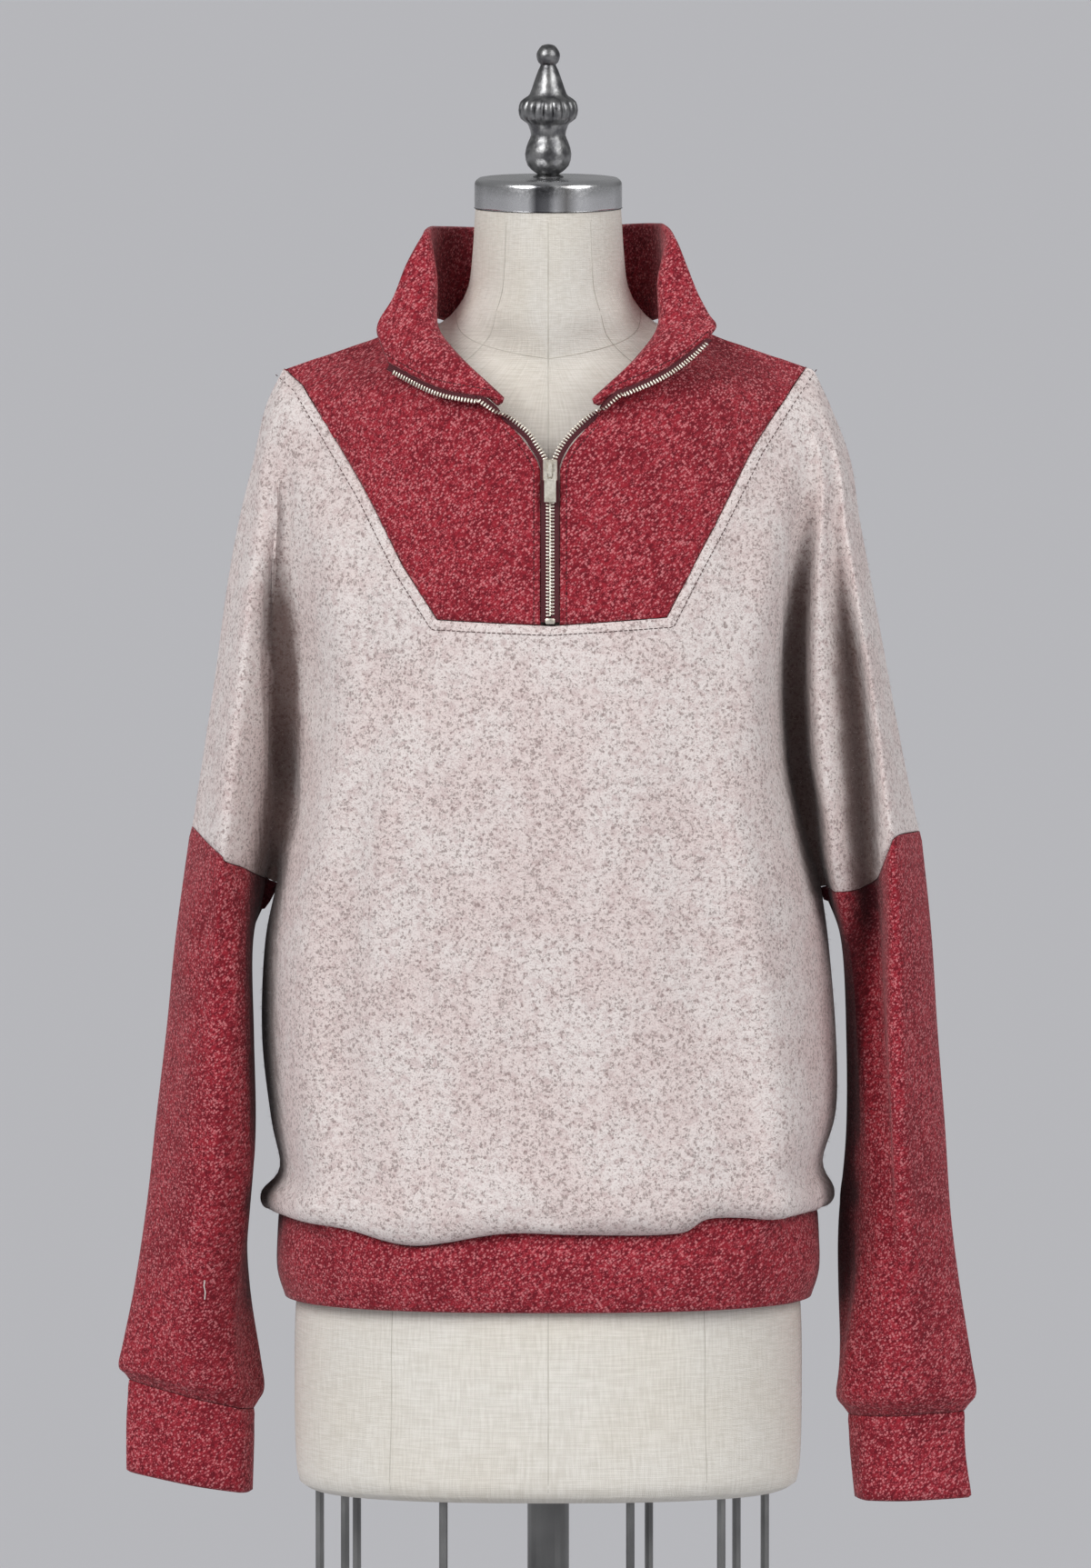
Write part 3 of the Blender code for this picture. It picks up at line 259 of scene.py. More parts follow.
def add_uv(mesh, u, v):
    """A UV map in metres from one pair of values a vertex."""
    layer = mesh.uv_layers.new(name="laid_flat")
    corner = values_of(mesh.loops, "vertex_index", kind=int)
    layer.data.foreach_set("uv", np.stack([u[corner], v[corner]], axis=1).ravel())


def form_rings():
    """Rings down the form: x = half width times cos^(2/power), y = depth times sin^(2/power)."""
    turn = np.arange(FORM_AROUND) / FORM_AROUND * 2 * math.pi
    cos, sin = np.cos(turn), np.sin(turn)
    rings = []
    for z, half, front, back, power in FORM:
        depth = np.where(sin < 0, -front, back)
        x = half * np.sign(cos) * np.abs(cos) ** (2 / power)
        y = depth * np.sign(sin) * np.abs(sin) ** (2 / power)
        rings.append(np.stack([x, y, np.full(FORM_AROUND, z)], axis=1))
    gaps = np.diff([row[0] for row in FORM])
    return spline(rings, np.clip(gaps // 5, 2, 12).astype(int)) * MM


def linen_material():
    """Plain woven linen: two crossed sets of uneven threads on the UV map, warm and cool clouds, slubs."""
    made, tree, shader = new_surface("drawn_linen", Roughness=0.88, Sheen_Weight=0.15)
    flat = node(tree, "ShaderNodeUVMap", uv_map="laid_flat").outputs["UV"]
    bands = []
    for direction, scale in (("X", 330.0), ("Y", 300.0)):
        wave = node(tree, "ShaderNodeTexWave", [("Vector", flat)], bands_direction=direction,
                    Scale=scale, Distortion=1.5, Detail=1.0)
        bands.append(wave.outputs["Fac"])
    slubs = []
    for stretch in ((700, 60, 1), (60, 700, 1)):
        place = node(tree, "ShaderNodeMapping", [("Vector", flat)], Scale=stretch).outputs["Vector"]
        slubs.append(noise(tree, place, 1.0, 2.0))
    threads = combined(tree, "ADD", *bands)
    uneven = combined(tree, "ADD", *slubs)
    tone = ramp(tree, span(tree, uneven, 0.6, 1.4), (0.0, LINEN_DARK), (1.0, LINEN_PALE))
    warmth = span(tree, noise(tree, flat, 9.0, 2.0), 0.35, 0.7, 0.0, 0.35)
    warm = node(tree, "ShaderNodeMix", [("Factor", warmth)], data_type="RGBA", blend_type="MULTIPLY")
    tree.links.new(tone, warm.inputs[6])
    warm.inputs[7].default_value = LINEN_WARMTH
    coat(tree, shader, warm.outputs[2], combined(tree, "MULTIPLY", threads, uneven), 0.35, 0.0003)
    return made


linen = linen_material()
rings = form_rings()
around = np.arange(FORM_AROUND) / FORM_AROUND
last_ring = (len(rings) - 1) * FORM_AROUND
caps = [list(range(FORM_AROUND))[::-1], list(range(last_ring, last_ring + FORM_AROUND))]
sides = list(grid_faces(len(rings), FORM_AROUND, closed=True)[:, ::-1])
torso = new_piece("linen_torso", rings, sides + caps, linen, "linen", crease=60)
add_uv(torso.data, np.tile(around, len(rings)) * FORM_GIRTH, rings[:, :, 2].ravel())
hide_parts("form_torso")


def on_grid(grid, row, column):
    """Points at fractional rows and columns of a grid, each a blend of the four round it."""
    row = np.clip(row, 0, grid.shape[0] - 1.001)
    i, j = np.floor(row).astype(int), np.floor(column).astype(int)
    s, t = (row - i)[:, None], (column - j)[:, None]
    wide = grid.shape[1]
    return ((grid[i, j % wide] * (1 - s) + grid[i + 1, j % wide] * s) * (1 - t)
            + (grid[i, (j + 1) % wide] * (1 - s) + grid[i + 1, (j + 1) % wide] * s) * t)


def ribbon_points(path, widthwise, outward, width, height):
    """A low strip along a path with a rounded top: five points across, from edge over crown to edge."""
    across = np.array([-0.5, -0.3, 0.0, 0.3, 0.5])
    crown = np.array([-0.4, 0.75, 1.0, 0.75, -0.4])
    return (path[:, None] + widthwise[:, None] * across[:, None] * width
            + outward[:, None] * crown[:, None] * height)


def unit(vectors):
    return vectors / np.linalg.norm(vectors, axis=-1, keepdims=True)


def along_path(path):
    """The unit direction of a path at each of its points."""
    return unit(np.gradient(path, axis=0))


def seam_strip(path, outward, width, height):
    """A strip's points and faces; its widthwise direction is square to its run and to the outward one."""
    run = along_path(path)
    strip = ribbon_points(path, unit(np.cross(outward, run)), outward, width, height)
    return strip.reshape(-1, 3), grid_faces(*strip.shape[:2])


def joined(parts):
    """Several sets of points and faces as one."""
    points, faces = [], []
    for shape, these in parts:
        before = sum(map(len, points))
        faces += [[corner + before for corner in face] for face in these]
        points.append(shape)
    return np.concatenate(points), faces


heights = rings[:, 0, 2]
seams = []
for share in GORES:
    row = np.interp(np.linspace(GORE_BOTTOM, GORE_TOP, GORE_STEPS), heights, np.arange(len(heights)))
    path = on_grid(rings, row, np.full(GORE_STEPS, share * FORM_AROUND))
    seams.append(seam_strip(path, unit(path * (1, 1, 0)), SEAM_WIDE, 0.12 * MM))
turns = np.linspace(0, 1, NECKLINE_STEPS)
drop = (NECKLINE_Z - NECKLINE_DIP * np.clip(-np.sin(turns * 2 * math.pi), 0, 1) ** 1.6) * MM
path = on_grid(rings, np.interp(drop, heights, np.arange(len(heights))), turns * FORM_AROUND)
seams.append(seam_strip(path, unit(path * (1, 1, 0)), SEAM_WIDE, 0.15 * MM))
seam_thread = metal("form_seam", (0.60, 0.57, 0.50, 1), (0.47, 0.44, 0.38, 1), 0.9, 0.0001, metallic=0.0)
new_piece("gore_seams", *joined(seams), seam_thread, "linen")


# ---------------------------------------------------------------------------------------------------
# The neck cap: a spun disc with a rolled edge, brushed on its top and chromed on its rim. The rim's
# upright bands of light and dark are a painted reflection in its colour.

CAP = (  # radius, z
    (0, 1667.3), (30, 1667.2), (43.6, 1667.0), (46.2, 1666.2), (47.9, 1664.6), (48.6, 1662.2), (48.6, 1655),
    (48.6, 1648.4), (48.4, 1647.2), (47.4, 1646.9), (30, 1646.85), (0, 1646.85),
)


def turned_piece(name, profile, surface, slot, steps, around=96, swell=None):
    """A profile of radius and height turned round the pole's axis; swell scales each point's radius."""
    profile = spline(np.array(profile, float), steps)
    turn = np.arange(around) / around * 2 * math.pi
    radius = np.repeat(profile[:, :1], around, axis=1)
    if swell:
        radius = radius * swell(profile[:, 1:], turn[None])
    z = np.repeat(profile[:, 1:], around, axis=1)
    points = np.stack([radius * np.cos(turn), radius * np.sin(turn), z], axis=-1) * MM
    piece = new_piece(name, points, grid_faces(len(profile), around, closed=True), surface, slot, crease=50)
    tidy_normals(piece)
    return piece


chrome = metal("polished_chrome", (0.80, 0.80, 0.81, 1), (0.66, 0.66, 0.67, 1), 0.24, 0.00004,
               cloud=20.0, grain=500.0)
tree = chrome.node_tree
place = node(tree, "ShaderNodeSeparateXYZ", [("Vector", node(tree, "ShaderNodeTexCoord").outputs["Object"])])
across_cap = combined(tree, "ADD", combined(tree, "MULTIPLY", place.outputs["X"], 10.2), 0.5)
# Painted reflection: upright bands of light and dark across the cap's x, for the chrome rim's colour.
painted_reflection_bands = ramp(tree, across_cap, (0.0, (0.30, 0.30, 0.30, 1)), (0.07, (0.85, 0.85, 0.85, 1)),
               (0.36, (1.0, 1.0, 1.0, 1)), (0.42, (0.16, 0.16, 0.17, 1)), (0.50, (0.34, 0.34, 0.35, 1)),
               (0.55, (1.0, 1.0, 1.0, 1)), (0.62, (0.42, 0.41, 0.40, 1)), (0.70, (1.0, 1.0, 1.0, 1)),
               (0.94, (0.80, 0.80, 0.80, 1)), (1.0, (0.28, 0.28, 0.28, 1)))
# The painted reflection is multiplied into the colour on the rim only, below the cap's top.
painted_rim_reflection = node(tree, "ShaderNodeMix", [("Factor", span(tree, place.outputs["Z"], 1.6665, 1.6640))],
               data_type="RGBA", blend_type="MULTIPLY")
finish = tree.nodes["Principled BSDF"].inputs["Base Color"].links[0].from_socket
tree.links.new(finish, painted_rim_reflection.inputs[6])
tree.links.new(painted_reflection_bands, painted_rim_reflection.inputs[7])
tree.links.new(painted_rim_reflection.outputs[2], tree.nodes["Principled BSDF"].inputs["Base Color"])
cap = turned_piece("neck_disc", CAP, chrome, "chrome", (1, 1, 2, 2, 2, 1, 1, 2, 2, 1, 1))
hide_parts("neck_cap")


# ---------------------------------------------------------------------------------------------------
# The finial: cast metal with a hammered skin. A small knob stands on a waisted cone, then a fluted
# ring and a ball.

FINIAL = (
    (0, 1755), (4.2, 1754), (7.0, 1750.3), (7.8, 1747), (6.6, 1743), (5.0, 1741.3), (6.5, 1738), (9.4, 1730),
    (12.2, 1722), (14.6, 1720), (18.4, 1717), (19.8, 1711.5), (18.4, 1706), (14.0, 1702.8), (12.6, 1700),
    (11.4, 1695), (13.4, 1690), (15.3, 1682.5), (13.6, 1675), (9.0, 1670.5), (7.0, 1669.3), (10.0, 1667.9),
    (10.0, 1667.3), (0, 1667.3),
)
FLUTES = 18
FLUTED_Z, FLUTED_REACH = 1711.5, 9.0
FLUTE_DEEP = 0.085


def fluted(z, turn):
    """The ring's radius dips by a twelfth between its flutes, as (1 - |sin(9 turn)|) squared, and less
    towards its edges."""
    middle = np.clip(1 - np.abs(z - FLUTED_Z) / FLUTED_REACH, 0, 1)
    return 1 - FLUTE_DEEP * (1 - np.abs(np.sin(turn * FLUTES / 2))) ** 2 * np.sqrt(middle)


pewter = metal("hammered_pewter", (0.30, 0.30, 0.30, 1), (0.13, 0.13, 0.135, 1), 0.38, 0.0006,
               cloud=160.0, grain=420.0)
finial = turned_piece("fluted_finial", FINIAL, pewter, "pewter", (2,) * 21 + (1, 1), around=144, swell=fluted)
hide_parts("finial")


# ---------------------------------------------------------------------------------------------------
# The two cloths. The cream one is a loose brushed jersey of pale wool with a dark core that shows as
# ragged flecks. The red one is a firm jersey of burgundy wool with short pink slubs in slanting rows.

CREAM_PINK = (0.80, 0.69, 0.665, 1)
CREAM_PALE = (0.83, 0.755, 0.73, 1)
CREAM_FLECK = (0.14, 0.082, 0.072, 1)
CREAM_TUFT = (0.56, 0.42, 0.41, 1)
CREAM_FAINT_FLECK = (0.40, 0.27, 0.26, 1)
# Painted shade: the dark colour the cream cloth is mixed towards where it lies deep in a trench.
CREAM_PAINTED_SHADE = (0.085, 0.040, 0.030, 1)
RED_DEEP = (0.145, 0.006, 0.014, 1)
RED_WARM = (0.36, 0.020, 0.034, 1)
RED_SLUB = (0.80, 0.27, 0.29, 1)
RED_FAINT_SLUB = (0.58, 0.10, 0.125, 1)
# Painted shade: the dark colour the red cloth is mixed towards where it lies deep in a trench.
RED_PAINTED_SHADE = (0.022, 0.002, 0.004, 1)


def fleck_group():
    """Ragged flecks: Voronoi cells on a place bent by noise. A cell shows where its random value is
    under Amount, as a soft spot round its middle, and the spot is narrower where Bend is small."""
    group, given, out = group_of(
        "ragged_flecks",
        [("Vector", "NodeSocketVector", None), ("Scale", "NodeSocketFloat", 400.0),
         ("Amount", "NodeSocketFloat", 0.4), ("Bend", "NodeSocketFloat", 0.001),
         ("Disorder", "NodeSocketFloat", 1.0)],
        [("Mask", "NodeSocketFloat")])
    ragged = node(group, "ShaderNodeTexNoise", [
        ("Vector", given.outputs["Vector"]), ("Scale", given.outputs["Scale"])], Detail=2.0)
    centred = node(group, "ShaderNodeVectorMath", [(0, ragged.outputs["Color"])], operation="SUBTRACT")
    centred.inputs[1].default_value = (0.5, 0.5, 0.5)
    bent = node(group, "ShaderNodeVectorMath", [(0, centred.outputs[0]), ("Scale", given.outputs["Bend"])],
                operation="SCALE")
    place = node(group, "ShaderNodeVectorMath", [(0, given.outputs["Vector"]), (1, bent.outputs[0])],
                 operation="ADD")
    cells = node(group, "ShaderNodeTexVoronoi", [
        ("Vector", place.outputs[0]), ("Scale", given.outputs["Scale"]),
        ("Randomness", given.outputs["Disorder"])])
    value = node(group, "ShaderNodeSeparateColor", [("Color", cells.outputs["Color"])]).outputs[0]
    chosen = combined(group, "LESS_THAN", value, given.outputs["Amount"])
    spot = span(group, cells.outputs["Distance"], 0.72, 0.30)
    group.links.new(combined(group, "MULTIPLY", chosen, spot), out.inputs["Mask"])
    return group


FLECKS = fleck_group()


def flecks(tree, place, scale, amount, bend, disorder=1.0):
    """One layer of flecks; amount is a number or a socket."""
    layer = node(tree, "ShaderNodeGroup", [("Vector", place)], node_tree=FLECKS,
                 Scale=scale, Bend=bend, Disorder=disorder)
    if isinstance(amount, float):
        layer.inputs["Amount"].default_value = amount
    else:
        tree.links.new(amount, layer.inputs["Amount"])
    return layer.outputs["Mask"]


def with_painted_shade(tree, colour, deep):
    """The cloth's colour with painted shade: darker by its own hollow attribute, where the skin lies deep in
    a trench.
    """
    hollow = node(tree, "ShaderNodeAttribute", attribute_name="hollow").outputs["Fac"]
    return over(tree, colour, deep, span(tree, hollow, 0.08, 0.90), 0.85)


def over(tree, below, above, mask, share):
    """One colour laid over another through a mask, at a share of full strength."""
    factor = combined(tree, "MULTIPLY", mask, share)
    mixed = node(tree, "ShaderNodeMix", [("Factor", factor)], data_type="RGBA")
    for number, value in ((6, below), (7, above)):
        if isinstance(value, tuple):
            mixed.inputs[number].default_value = value
        else:
            tree.links.new(value, mixed.inputs[number])
    return mixed.outputs[2]


def cream_material():
    """Pink and pale clouds of wool, coarse and fine dark flecks that gather in places, and a matted nap."""
    made, tree, shader = new_surface("brushed_cream_jersey", Roughness=0.95, Sheen_Weight=0.24,
                                     Sheen_Roughness=0.6, Specular_IOR_Level=0.2)
    place = node(tree, "ShaderNodeTexCoord").outputs["Object"]
    clouds = noise(tree, place, 26.0)
    tufts = noise(tree, place, 210.0)
    nap = noise(tree, place, 620.0, Roughness=0.7)
    wool = over(tree, CREAM_PINK, CREAM_PALE, span(tree, clouds, 0.38, 0.62), 1.0)
    wool = over(tree, wool, CREAM_TUFT, span(tree, tufts, 0.50, 0.34), 0.45)
    thick = span(tree, clouds, 0.30, 0.66, 0.46, 0.24)
    wool = over(tree, wool, CREAM_FAINT_FLECK, flecks(tree, place, 1050.0, 0.44, 0.0017), 0.50)
    wool = over(tree, wool, CREAM_FLECK, flecks(tree, place, 500.0, thick, 0.0048), 0.56)
    # Painted shade in the trenches beside the sleeves and in the creases.
    wool = with_painted_shade(tree, wool, CREAM_PAINTED_SHADE)
    coat(tree, shader, wool, combined(tree, "ADD", tufts, nap), 0.55, 0.0016)
    return made


def red_material():
    """Deep and warm red wool with short pink slubs, stretched and lined up along a slant."""
    made, tree, shader = new_surface("slubbed_red_jersey", Roughness=0.9, Sheen_Weight=0.12,
                                     Sheen_Roughness=0.5, Specular_IOR_Level=0.2)
    place = node(tree, "ShaderNodeTexCoord").outputs["Object"]
    slanted = node(tree, "ShaderNodeMapping", [("Vector", place)], vector_type="TEXTURE",
                   Rotation=(0, math.radians(-35), math.radians(30)), Scale=(1.5, 1.0, 1.0)).outputs["Vector"]
    clouds = noise(tree, place, 34.0)
    tufts = noise(tree, slanted, 420.0)
    wool = over(tree, RED_DEEP, RED_WARM, span(tree, tufts, 0.34, 0.66), 0.85)
    wool = over(tree, wool, RED_DEEP, span(tree, clouds, 0.56, 0.34), 0.45)
    amount = span(tree, clouds, 0.32, 0.66, 0.30, 0.50)
    first = flecks(tree, slanted, 1150.0, amount, 0.0006)
    second = flecks(tree, slanted, 820.0, 0.24, 0.0003, 0.35)
    wool = over(tree, wool, RED_FAINT_SLUB, first, 0.75)
    wool = over(tree, wool, RED_SLUB, second, 0.62)
    # Painted shade in the trenches beside the sleeves and in the creases.
    wool = with_painted_shade(tree, wool, RED_PAINTED_SHADE)
    coat(tree, shader, wool, combined(tree, "ADD", tufts, first), 0.5, 0.0007)
    return made


CLOTHS = {"cream_jersey": cream_material(), "red_jersey": red_material()}


# ---------------------------------------------------------------------------------------------------
# The garment as it hangs on the form, first as one welded skin, so that neighbours meet. Sections are
# in millimetres: a row for each height, a column for each rail that runs down the garment, and x as the
# distance from the pole's axis.

LEFT, RIGHT = -1, 1
CLOTH_WALL = 2.4 * MM  # fleece-backed jersey
DOUBLE_WALL = 4.4 * MM  # collar, cuffs and hem band are doubled
SEAM_GAP = 0.6 * MM
SEAM_DITCH = 0.9 * MM  # how far the cloth sinks into a seam
FINE = 5  # how many steps of this surface go into one of the solids'

# Each front half's rows run over ten rails: centre, throat, side of the neck, neck point, body's edge,
# valley beside the sleeve, and the sleeve's inner, fold, lobe and overarm rails.
RAIL_STEPS = (2, 2, 2, 2, 3, 2, 2, 2, 2)
# The neckline and shoulder line, and the row below it: x, y, z of each rail.
FIRST_ROWS = {
    "shoulder": (
        (0, -98, 1505), (33, -95, 1522), (62, -72, 1549), (80, -6, 1572), (120, -4, 1560),
        (146, -3, 1551), (154, -2, 1548.5), (161, -2, 1546), (168, -1, 1543.5), (175, 0, 1541),
    ),
    "yoke_top": (
        (0, -102, 1497), (37, -98, 1511), (74, -82, 1528), (106, -62, 1534), (140, -44, 1526),
        (162, -33, 1521), (169, -29, 1519), (175, -24, 1518), (181, -17, 1517), (187, 0, 1515),
    ),
}

# Upper body and sleeve, one row per height. z_in is the body's height, z_out the overarm's.
UPPER_COLUMNS = (
    "z_in", "z_out", "centre_y", "edge_x", "edge_y", "valley_x", "valley_y", "inner_x", "inner_y",
    "fold_x", "fold_y", "lobe_x", "lobe_y", "over_x",
)
UPPER = {
    LEFT: (
        (1480, 1480, -107, 150, -54, 171, -39, 177, -36, 183, -31, 189, -24, 195),
        (1440, 1440, -114, 148, -70, 171, -40, 178, -40, 185, -38, 193, -33, 205),
        (1395, 1395, -121, 143, -82, 168, -36, 179, -38, 189, -42, 199, -42, 213),
        (1340, 1340, -127, 136, -90, 163, -25, 178, -28, 190, -42, 205, -50, 220.5),
        (1285, 1286, -131, 142, -94, 166, -17, 182, -18, 194, -40, 211, -55, 228.5),
        (1232, 1250, -132, 152, -94, 174, -12, 187, -14, 198, -38, 215, -57, 234),
        (1201, 1238, -132, 157, -92, 180, 0, 190, -14, 200, -38, 216, -58, 236),
    ),
    RIGHT: (
        (1480, 1480, -107, 152, -54, 174, -38, 180, -40, 187, -32, 193, -28, 200),
        (1440, 1440, -114, 149, -70, 172, -38, 180, -46, 190, -34, 197, -36, 206.5),
        (1395, 1395, -121, 144, -82, 166, -33, 178, -50, 195, -32, 204, -46, 215),
        (1340, 1340, -127, 138, -90, 160, -24, 178, -54, 203, -28, 213, -54, 225),
        (1285, 1286, -131, 142, -94, 163, -16, 181, -56, 208, -26, 220, -58, 235),
        (1232, 1247, -132, 152, -94, 173, -12, 186, -54, 211, -24, 225, -60, 243),
        (1198, 1235, -132, 158, -92, 181, 0, 190, -44, 213, -24, 227, -60, 246),
    ),
}
# How far up the slant of a row each sleeve rail lies, from the body's height to the overarm's.
RISE = {
    LEFT: {"valley": 0.0, "inner": 0.15, "fold": 0.35, "lobe": 0.6, "over": 1.0},
    RIGHT: {"valley": 0.0, "inner": 0.0, "fold": 0.12, "lobe": 0.98, "over": 1.0},
}

# The body below the underarm: blouson over the hem band.
LOWER_COLUMNS = ("z", "centre_y", "edge_x", "edge_y", "side_x")
LOWER = {
    LEFT: (
        (1160, -132, 163, -90, 188),
        (1100, -132, 164, -90, 190),
        (1045, -133, 160, -92, 184),
        (1012, -135, 156, -94, 178),
        (996, -135, 163, -93, 190),
        (986, -131, 161, -90, 189),
        (984, -122, 152, -85, 178),
    ),
    RIGHT: (
        (1160, -132, 162, -90, 186),
        (1100, -132, 165, -90, 191),
        (1050, -133, 165, -92, 191),
        (1016, -135, 158, -94, 182),
        (998, -135, 162, -93, 189),
        (988, -131, 160, -90, 187),
        (984, -122, 152, -85, 178),
    ),
}
# The front's hem dips at the left of the centre and rises at the right, as it hangs (x, drop).
HEM_DIP = ((-190, 0), (-140, 2), (-90, 13), (-30, 4), (20, 5), (85, 5), (110, -4), (190, 0))

# The back, one row for each row of the front.
BACK_COLUMNS = ("centre_y", "edge_x", "edge_y", "valley_y", "lobe_y", "lobe_in")
BACK = (
    (72, 120, -2, -1, 0, 7),
    (78, 138, 34, 26, 16, 6),
    (85, 150, 54, 42, 28, 7),
    (92, 150, 66, 44, 38, 10),
    (98, 148, 74, 40, 46, 14),
    (100, 144, 80, 30, 52, 17),
    (101, 146, 84, 19, 54, 19),
    (104, 152, 86, 12, 55, 20),
    (106, 157, 86, 0, 55, 20),
    (110, 163, 88, 0, 0, 0),
    (114, 165, 90, 0, 0, 0),
    (119, 163, 92, 0, 0, 0),
    (123, 157, 94, 0, 0, 0),
    (125, 163, 93, 0, 0, 0),
    (123, 161, 90, 0, 0, 0),
    (116, 152, 85, 0, 0, 0),
)
BACK_TOP_Z = 1540
BACK_NECK = ((0, 72, 1556), (33, 66, 1559), (62, 44, 1566), (80, -6, 1572))

# Lower sleeves: the ring of rails at each height, and the cuff from row CUFF_ROW on.
SLEEVE_COLUMNS = (
    "z_in", "z_out", "under_x", "under_y", "inner_x", "inner_y", "fold_x", "fold_y", "lobe_x", "lobe_y",
    "over_x", "over_y", "back_x", "back_y", "rear_x", "rear_y",
)
SLEEVE = {
    LEFT: (
        (1160, 1165, 197, 4, 195, -22, 201, -46, 221, -59, 246, 0, 228, 50, 204, 38),
        (1100, 1105, 198, 6, 194, -26, 200, -50, 223, -60, 252, 0, 232, 52, 206, 40),
        (1040, 1045, 198, 8, 193, -26, 200, -50, 226, -59, 259, 0, 238, 50, 207, 40),
        (985, 990, 201, 10, 197, -24, 204, -46, 232, -54, 265, -2, 244, 45, 210, 37),
        (928, 936, 197, 14, 203, -20, 211, -38, 238, -46, 273, -4, 250, 36, 207, 33),
        (882, 896, 190, 16, 201, -14, 211, -32, 240, -39, 281, -6, 254, 27, 203, 28),
        (863, 880, 188, 14, 197, -12, 209, -28, 240, -35, 284, -6, 254, 23, 201, 25),
        (851, 871, 194, 10, 199, -11, 210, -22, 240, -27, 278, -5, 252, 15, 206, 18),
        (828, 842, 195, 8, 198, -11, 209, -21, 240, -25, 279, -5, 252, 13, 207, 16),
        (797, 811, 196, 8, 199, -11, 210, -21, 240, -25, 279, -5, 252, 13, 208, 16),
    ),
    RIGHT: (
        (1160, 1168, 194, 5, 198, -26, 214, -18, 230, -56, 253, 0, 234, 50, 205, 38),
        (1100, 1106, 197, 6, 201, -18, 213, -24, 231, -57, 257, 0, 238, 50, 207, 40),
        (1036, 1042, 197, 8, 202, -14, 212, -32, 232, -57, 262, 0, 240, 48, 207, 40),
        (975, 982, 192, 12, 201, -10, 211, -34, 234, -53, 266, -2, 244, 42, 203, 36),
        (928, 934, 192, 11, 199, -10, 206, -33, 236, -47, 272, -4, 248, 34, 201, 31),
        (880, 884, 194, 8, 193, -12, 201, -31, 238, -41, 280, -5, 252, 24, 205, 25),
        (860, 862, 192, 4, 192, -12, 202, -29, 238, -36, 283, -5, 252, 19, 205, 20),
        (848, 850, 198, 2, 201, -11, 211, -22, 238, -27, 276, -4, 250, 15, 209, 15),
        (822, 823, 200, 2, 203, -11, 212, -21, 238, -25, 276, -4, 250, 13, 210, 13),
        (793, 794, 203, 2, 205, -11, 213, -21, 240, -25, 280, -4, 252, 13, 211, 13),
    ),
}
CUFF_ROW = 8  # counting the sleeve's seam as row 0
SLEEVE_RING_STEPS = RAIL_STEPS[5:] + RAIL_STEPS[:4:-1]

# The hem band: z, half width, front y and back y of each superellipse ring.
BAND = ((984, 178, -122, 116), (966, 179, -124, 118), (945, 179, -123, 118), (928, 174, -119, 115))
BAND_POWER = 0.8

# The yoke's outline on the front, from the shoulder's end to the corner above the centre (x, z).
YOKE_OUTLINE = {
    LEFT: ((186, 1556), (175, 1541.5), (162, 1532), (146, 1507), (119, 1464), (96, 1419), (73, 1384)),
    RIGHT: ((183, 1558), (171, 1543.5), (156, 1524), (135, 1493), (110, 1445), (94, 1416), (78, 1385.5)),
}
YOKE_BOTTOM_Z = 1381
# The opened front edge beside the zip, from the slider to the neckline (x, z).
OPEN_EDGE = {
    LEFT: ((4.9, 1482), (7, 1488), (12, 1496), (19, 1505), (27, 1513), (33, 1520), (37, 1532)),
    RIGHT: ((7.3, 1482), (9, 1488), (14, 1497), (22, 1506), (29, 1514), (34, 1520), (38, 1532)),
}

BODY_SHARE = np.array([0.0, 0.28, 0.53, 0.78, 1.0])  # the body's rails, from the centre to its edge
BODY_POWER = 2.4


def body_arc(centre_y, edge_x, edge_y):
    """x and y of the body's rails: the depth falls off as the share to a power."""
    return edge_x * BODY_SHARE, centre_y + (edge_y - centre_y) * BODY_SHARE ** BODY_POWER


def front_rows(side):
    """Rows of one front half, from the shoulder line down to the underarm and the hem."""
    rows = [np.array(FIRST_ROWS["shoulder"], float), np.array(FIRST_ROWS["yoke_top"], float)]
    for values in UPPER[side]:
        row = dict(zip(UPPER_COLUMNS, values))
        across, depth = body_arc(row["centre_y"], row["edge_x"], row["edge_y"])
        points = [(x, y, row["z_in"]) for x, y in zip(across, depth)]
        for rail in ("valley", "inner", "fold", "lobe", "over"):
            height = row["z_in"] + (row["z_out"] - row["z_in"]) * RISE[side][rail]
            points.append((row[f"{rail}_x"], row.get(f"{rail}_y", 2), height))
        rows.append(np.array(points, float))
    for values in LOWER[side]:
        row = dict(zip(LOWER_COLUMNS, values))
        across, depth = body_arc(row["centre_y"], row["edge_x"], row["edge_y"])
        points = [(x, y, row["z"]) for x, y in zip(across, depth)] + [(row["side_x"], 0, row["z"])] * 5
        rows.append(np.array(points, float))
    return np.array(rows)


def back_rows(front):
    """Rows of one back half, which share the overarm, side and shoulder with the front."""
    rows = []
    for index, values in enumerate(BACK):
        row = dict(zip(BACK_COLUMNS, values))
        points = front[index].copy()
        if index:
            points[:5, 0], points[:5, 1] = body_arc(row["centre_y"], row["edge_x"], row["edge_y"])
            points[5, 1] = row["valley_y"] if index < UNDERARM else 0
        if 0 < index <= UNDERARM:
            points[:5, 2] = front[index][5, 2]
            valley, over_arm = front[index][5], front[index][9]
            share = np.array([0.33, 0.67, 1.0])
            lobe_x = over_arm[0] - row["lobe_in"]
            points[6:9, 0] = valley[0] + (lobe_x - valley[0]) * share
            points[6:9, 1] = row["valley_y"] + (row["lobe_y"] - row["valley_y"]) * np.sin(share * math.pi / 2)
            points[6:9, 2] = valley[2] + (over_arm[2] - valley[2]) * share
        if index == 0:
            points[:4] = BACK_NECK
        if index == 1:
            points[:5, 2] = (BACK_TOP_Z, 1541, 1543, 1540, 1530)
        rows.append(points)
    return np.array(rows)


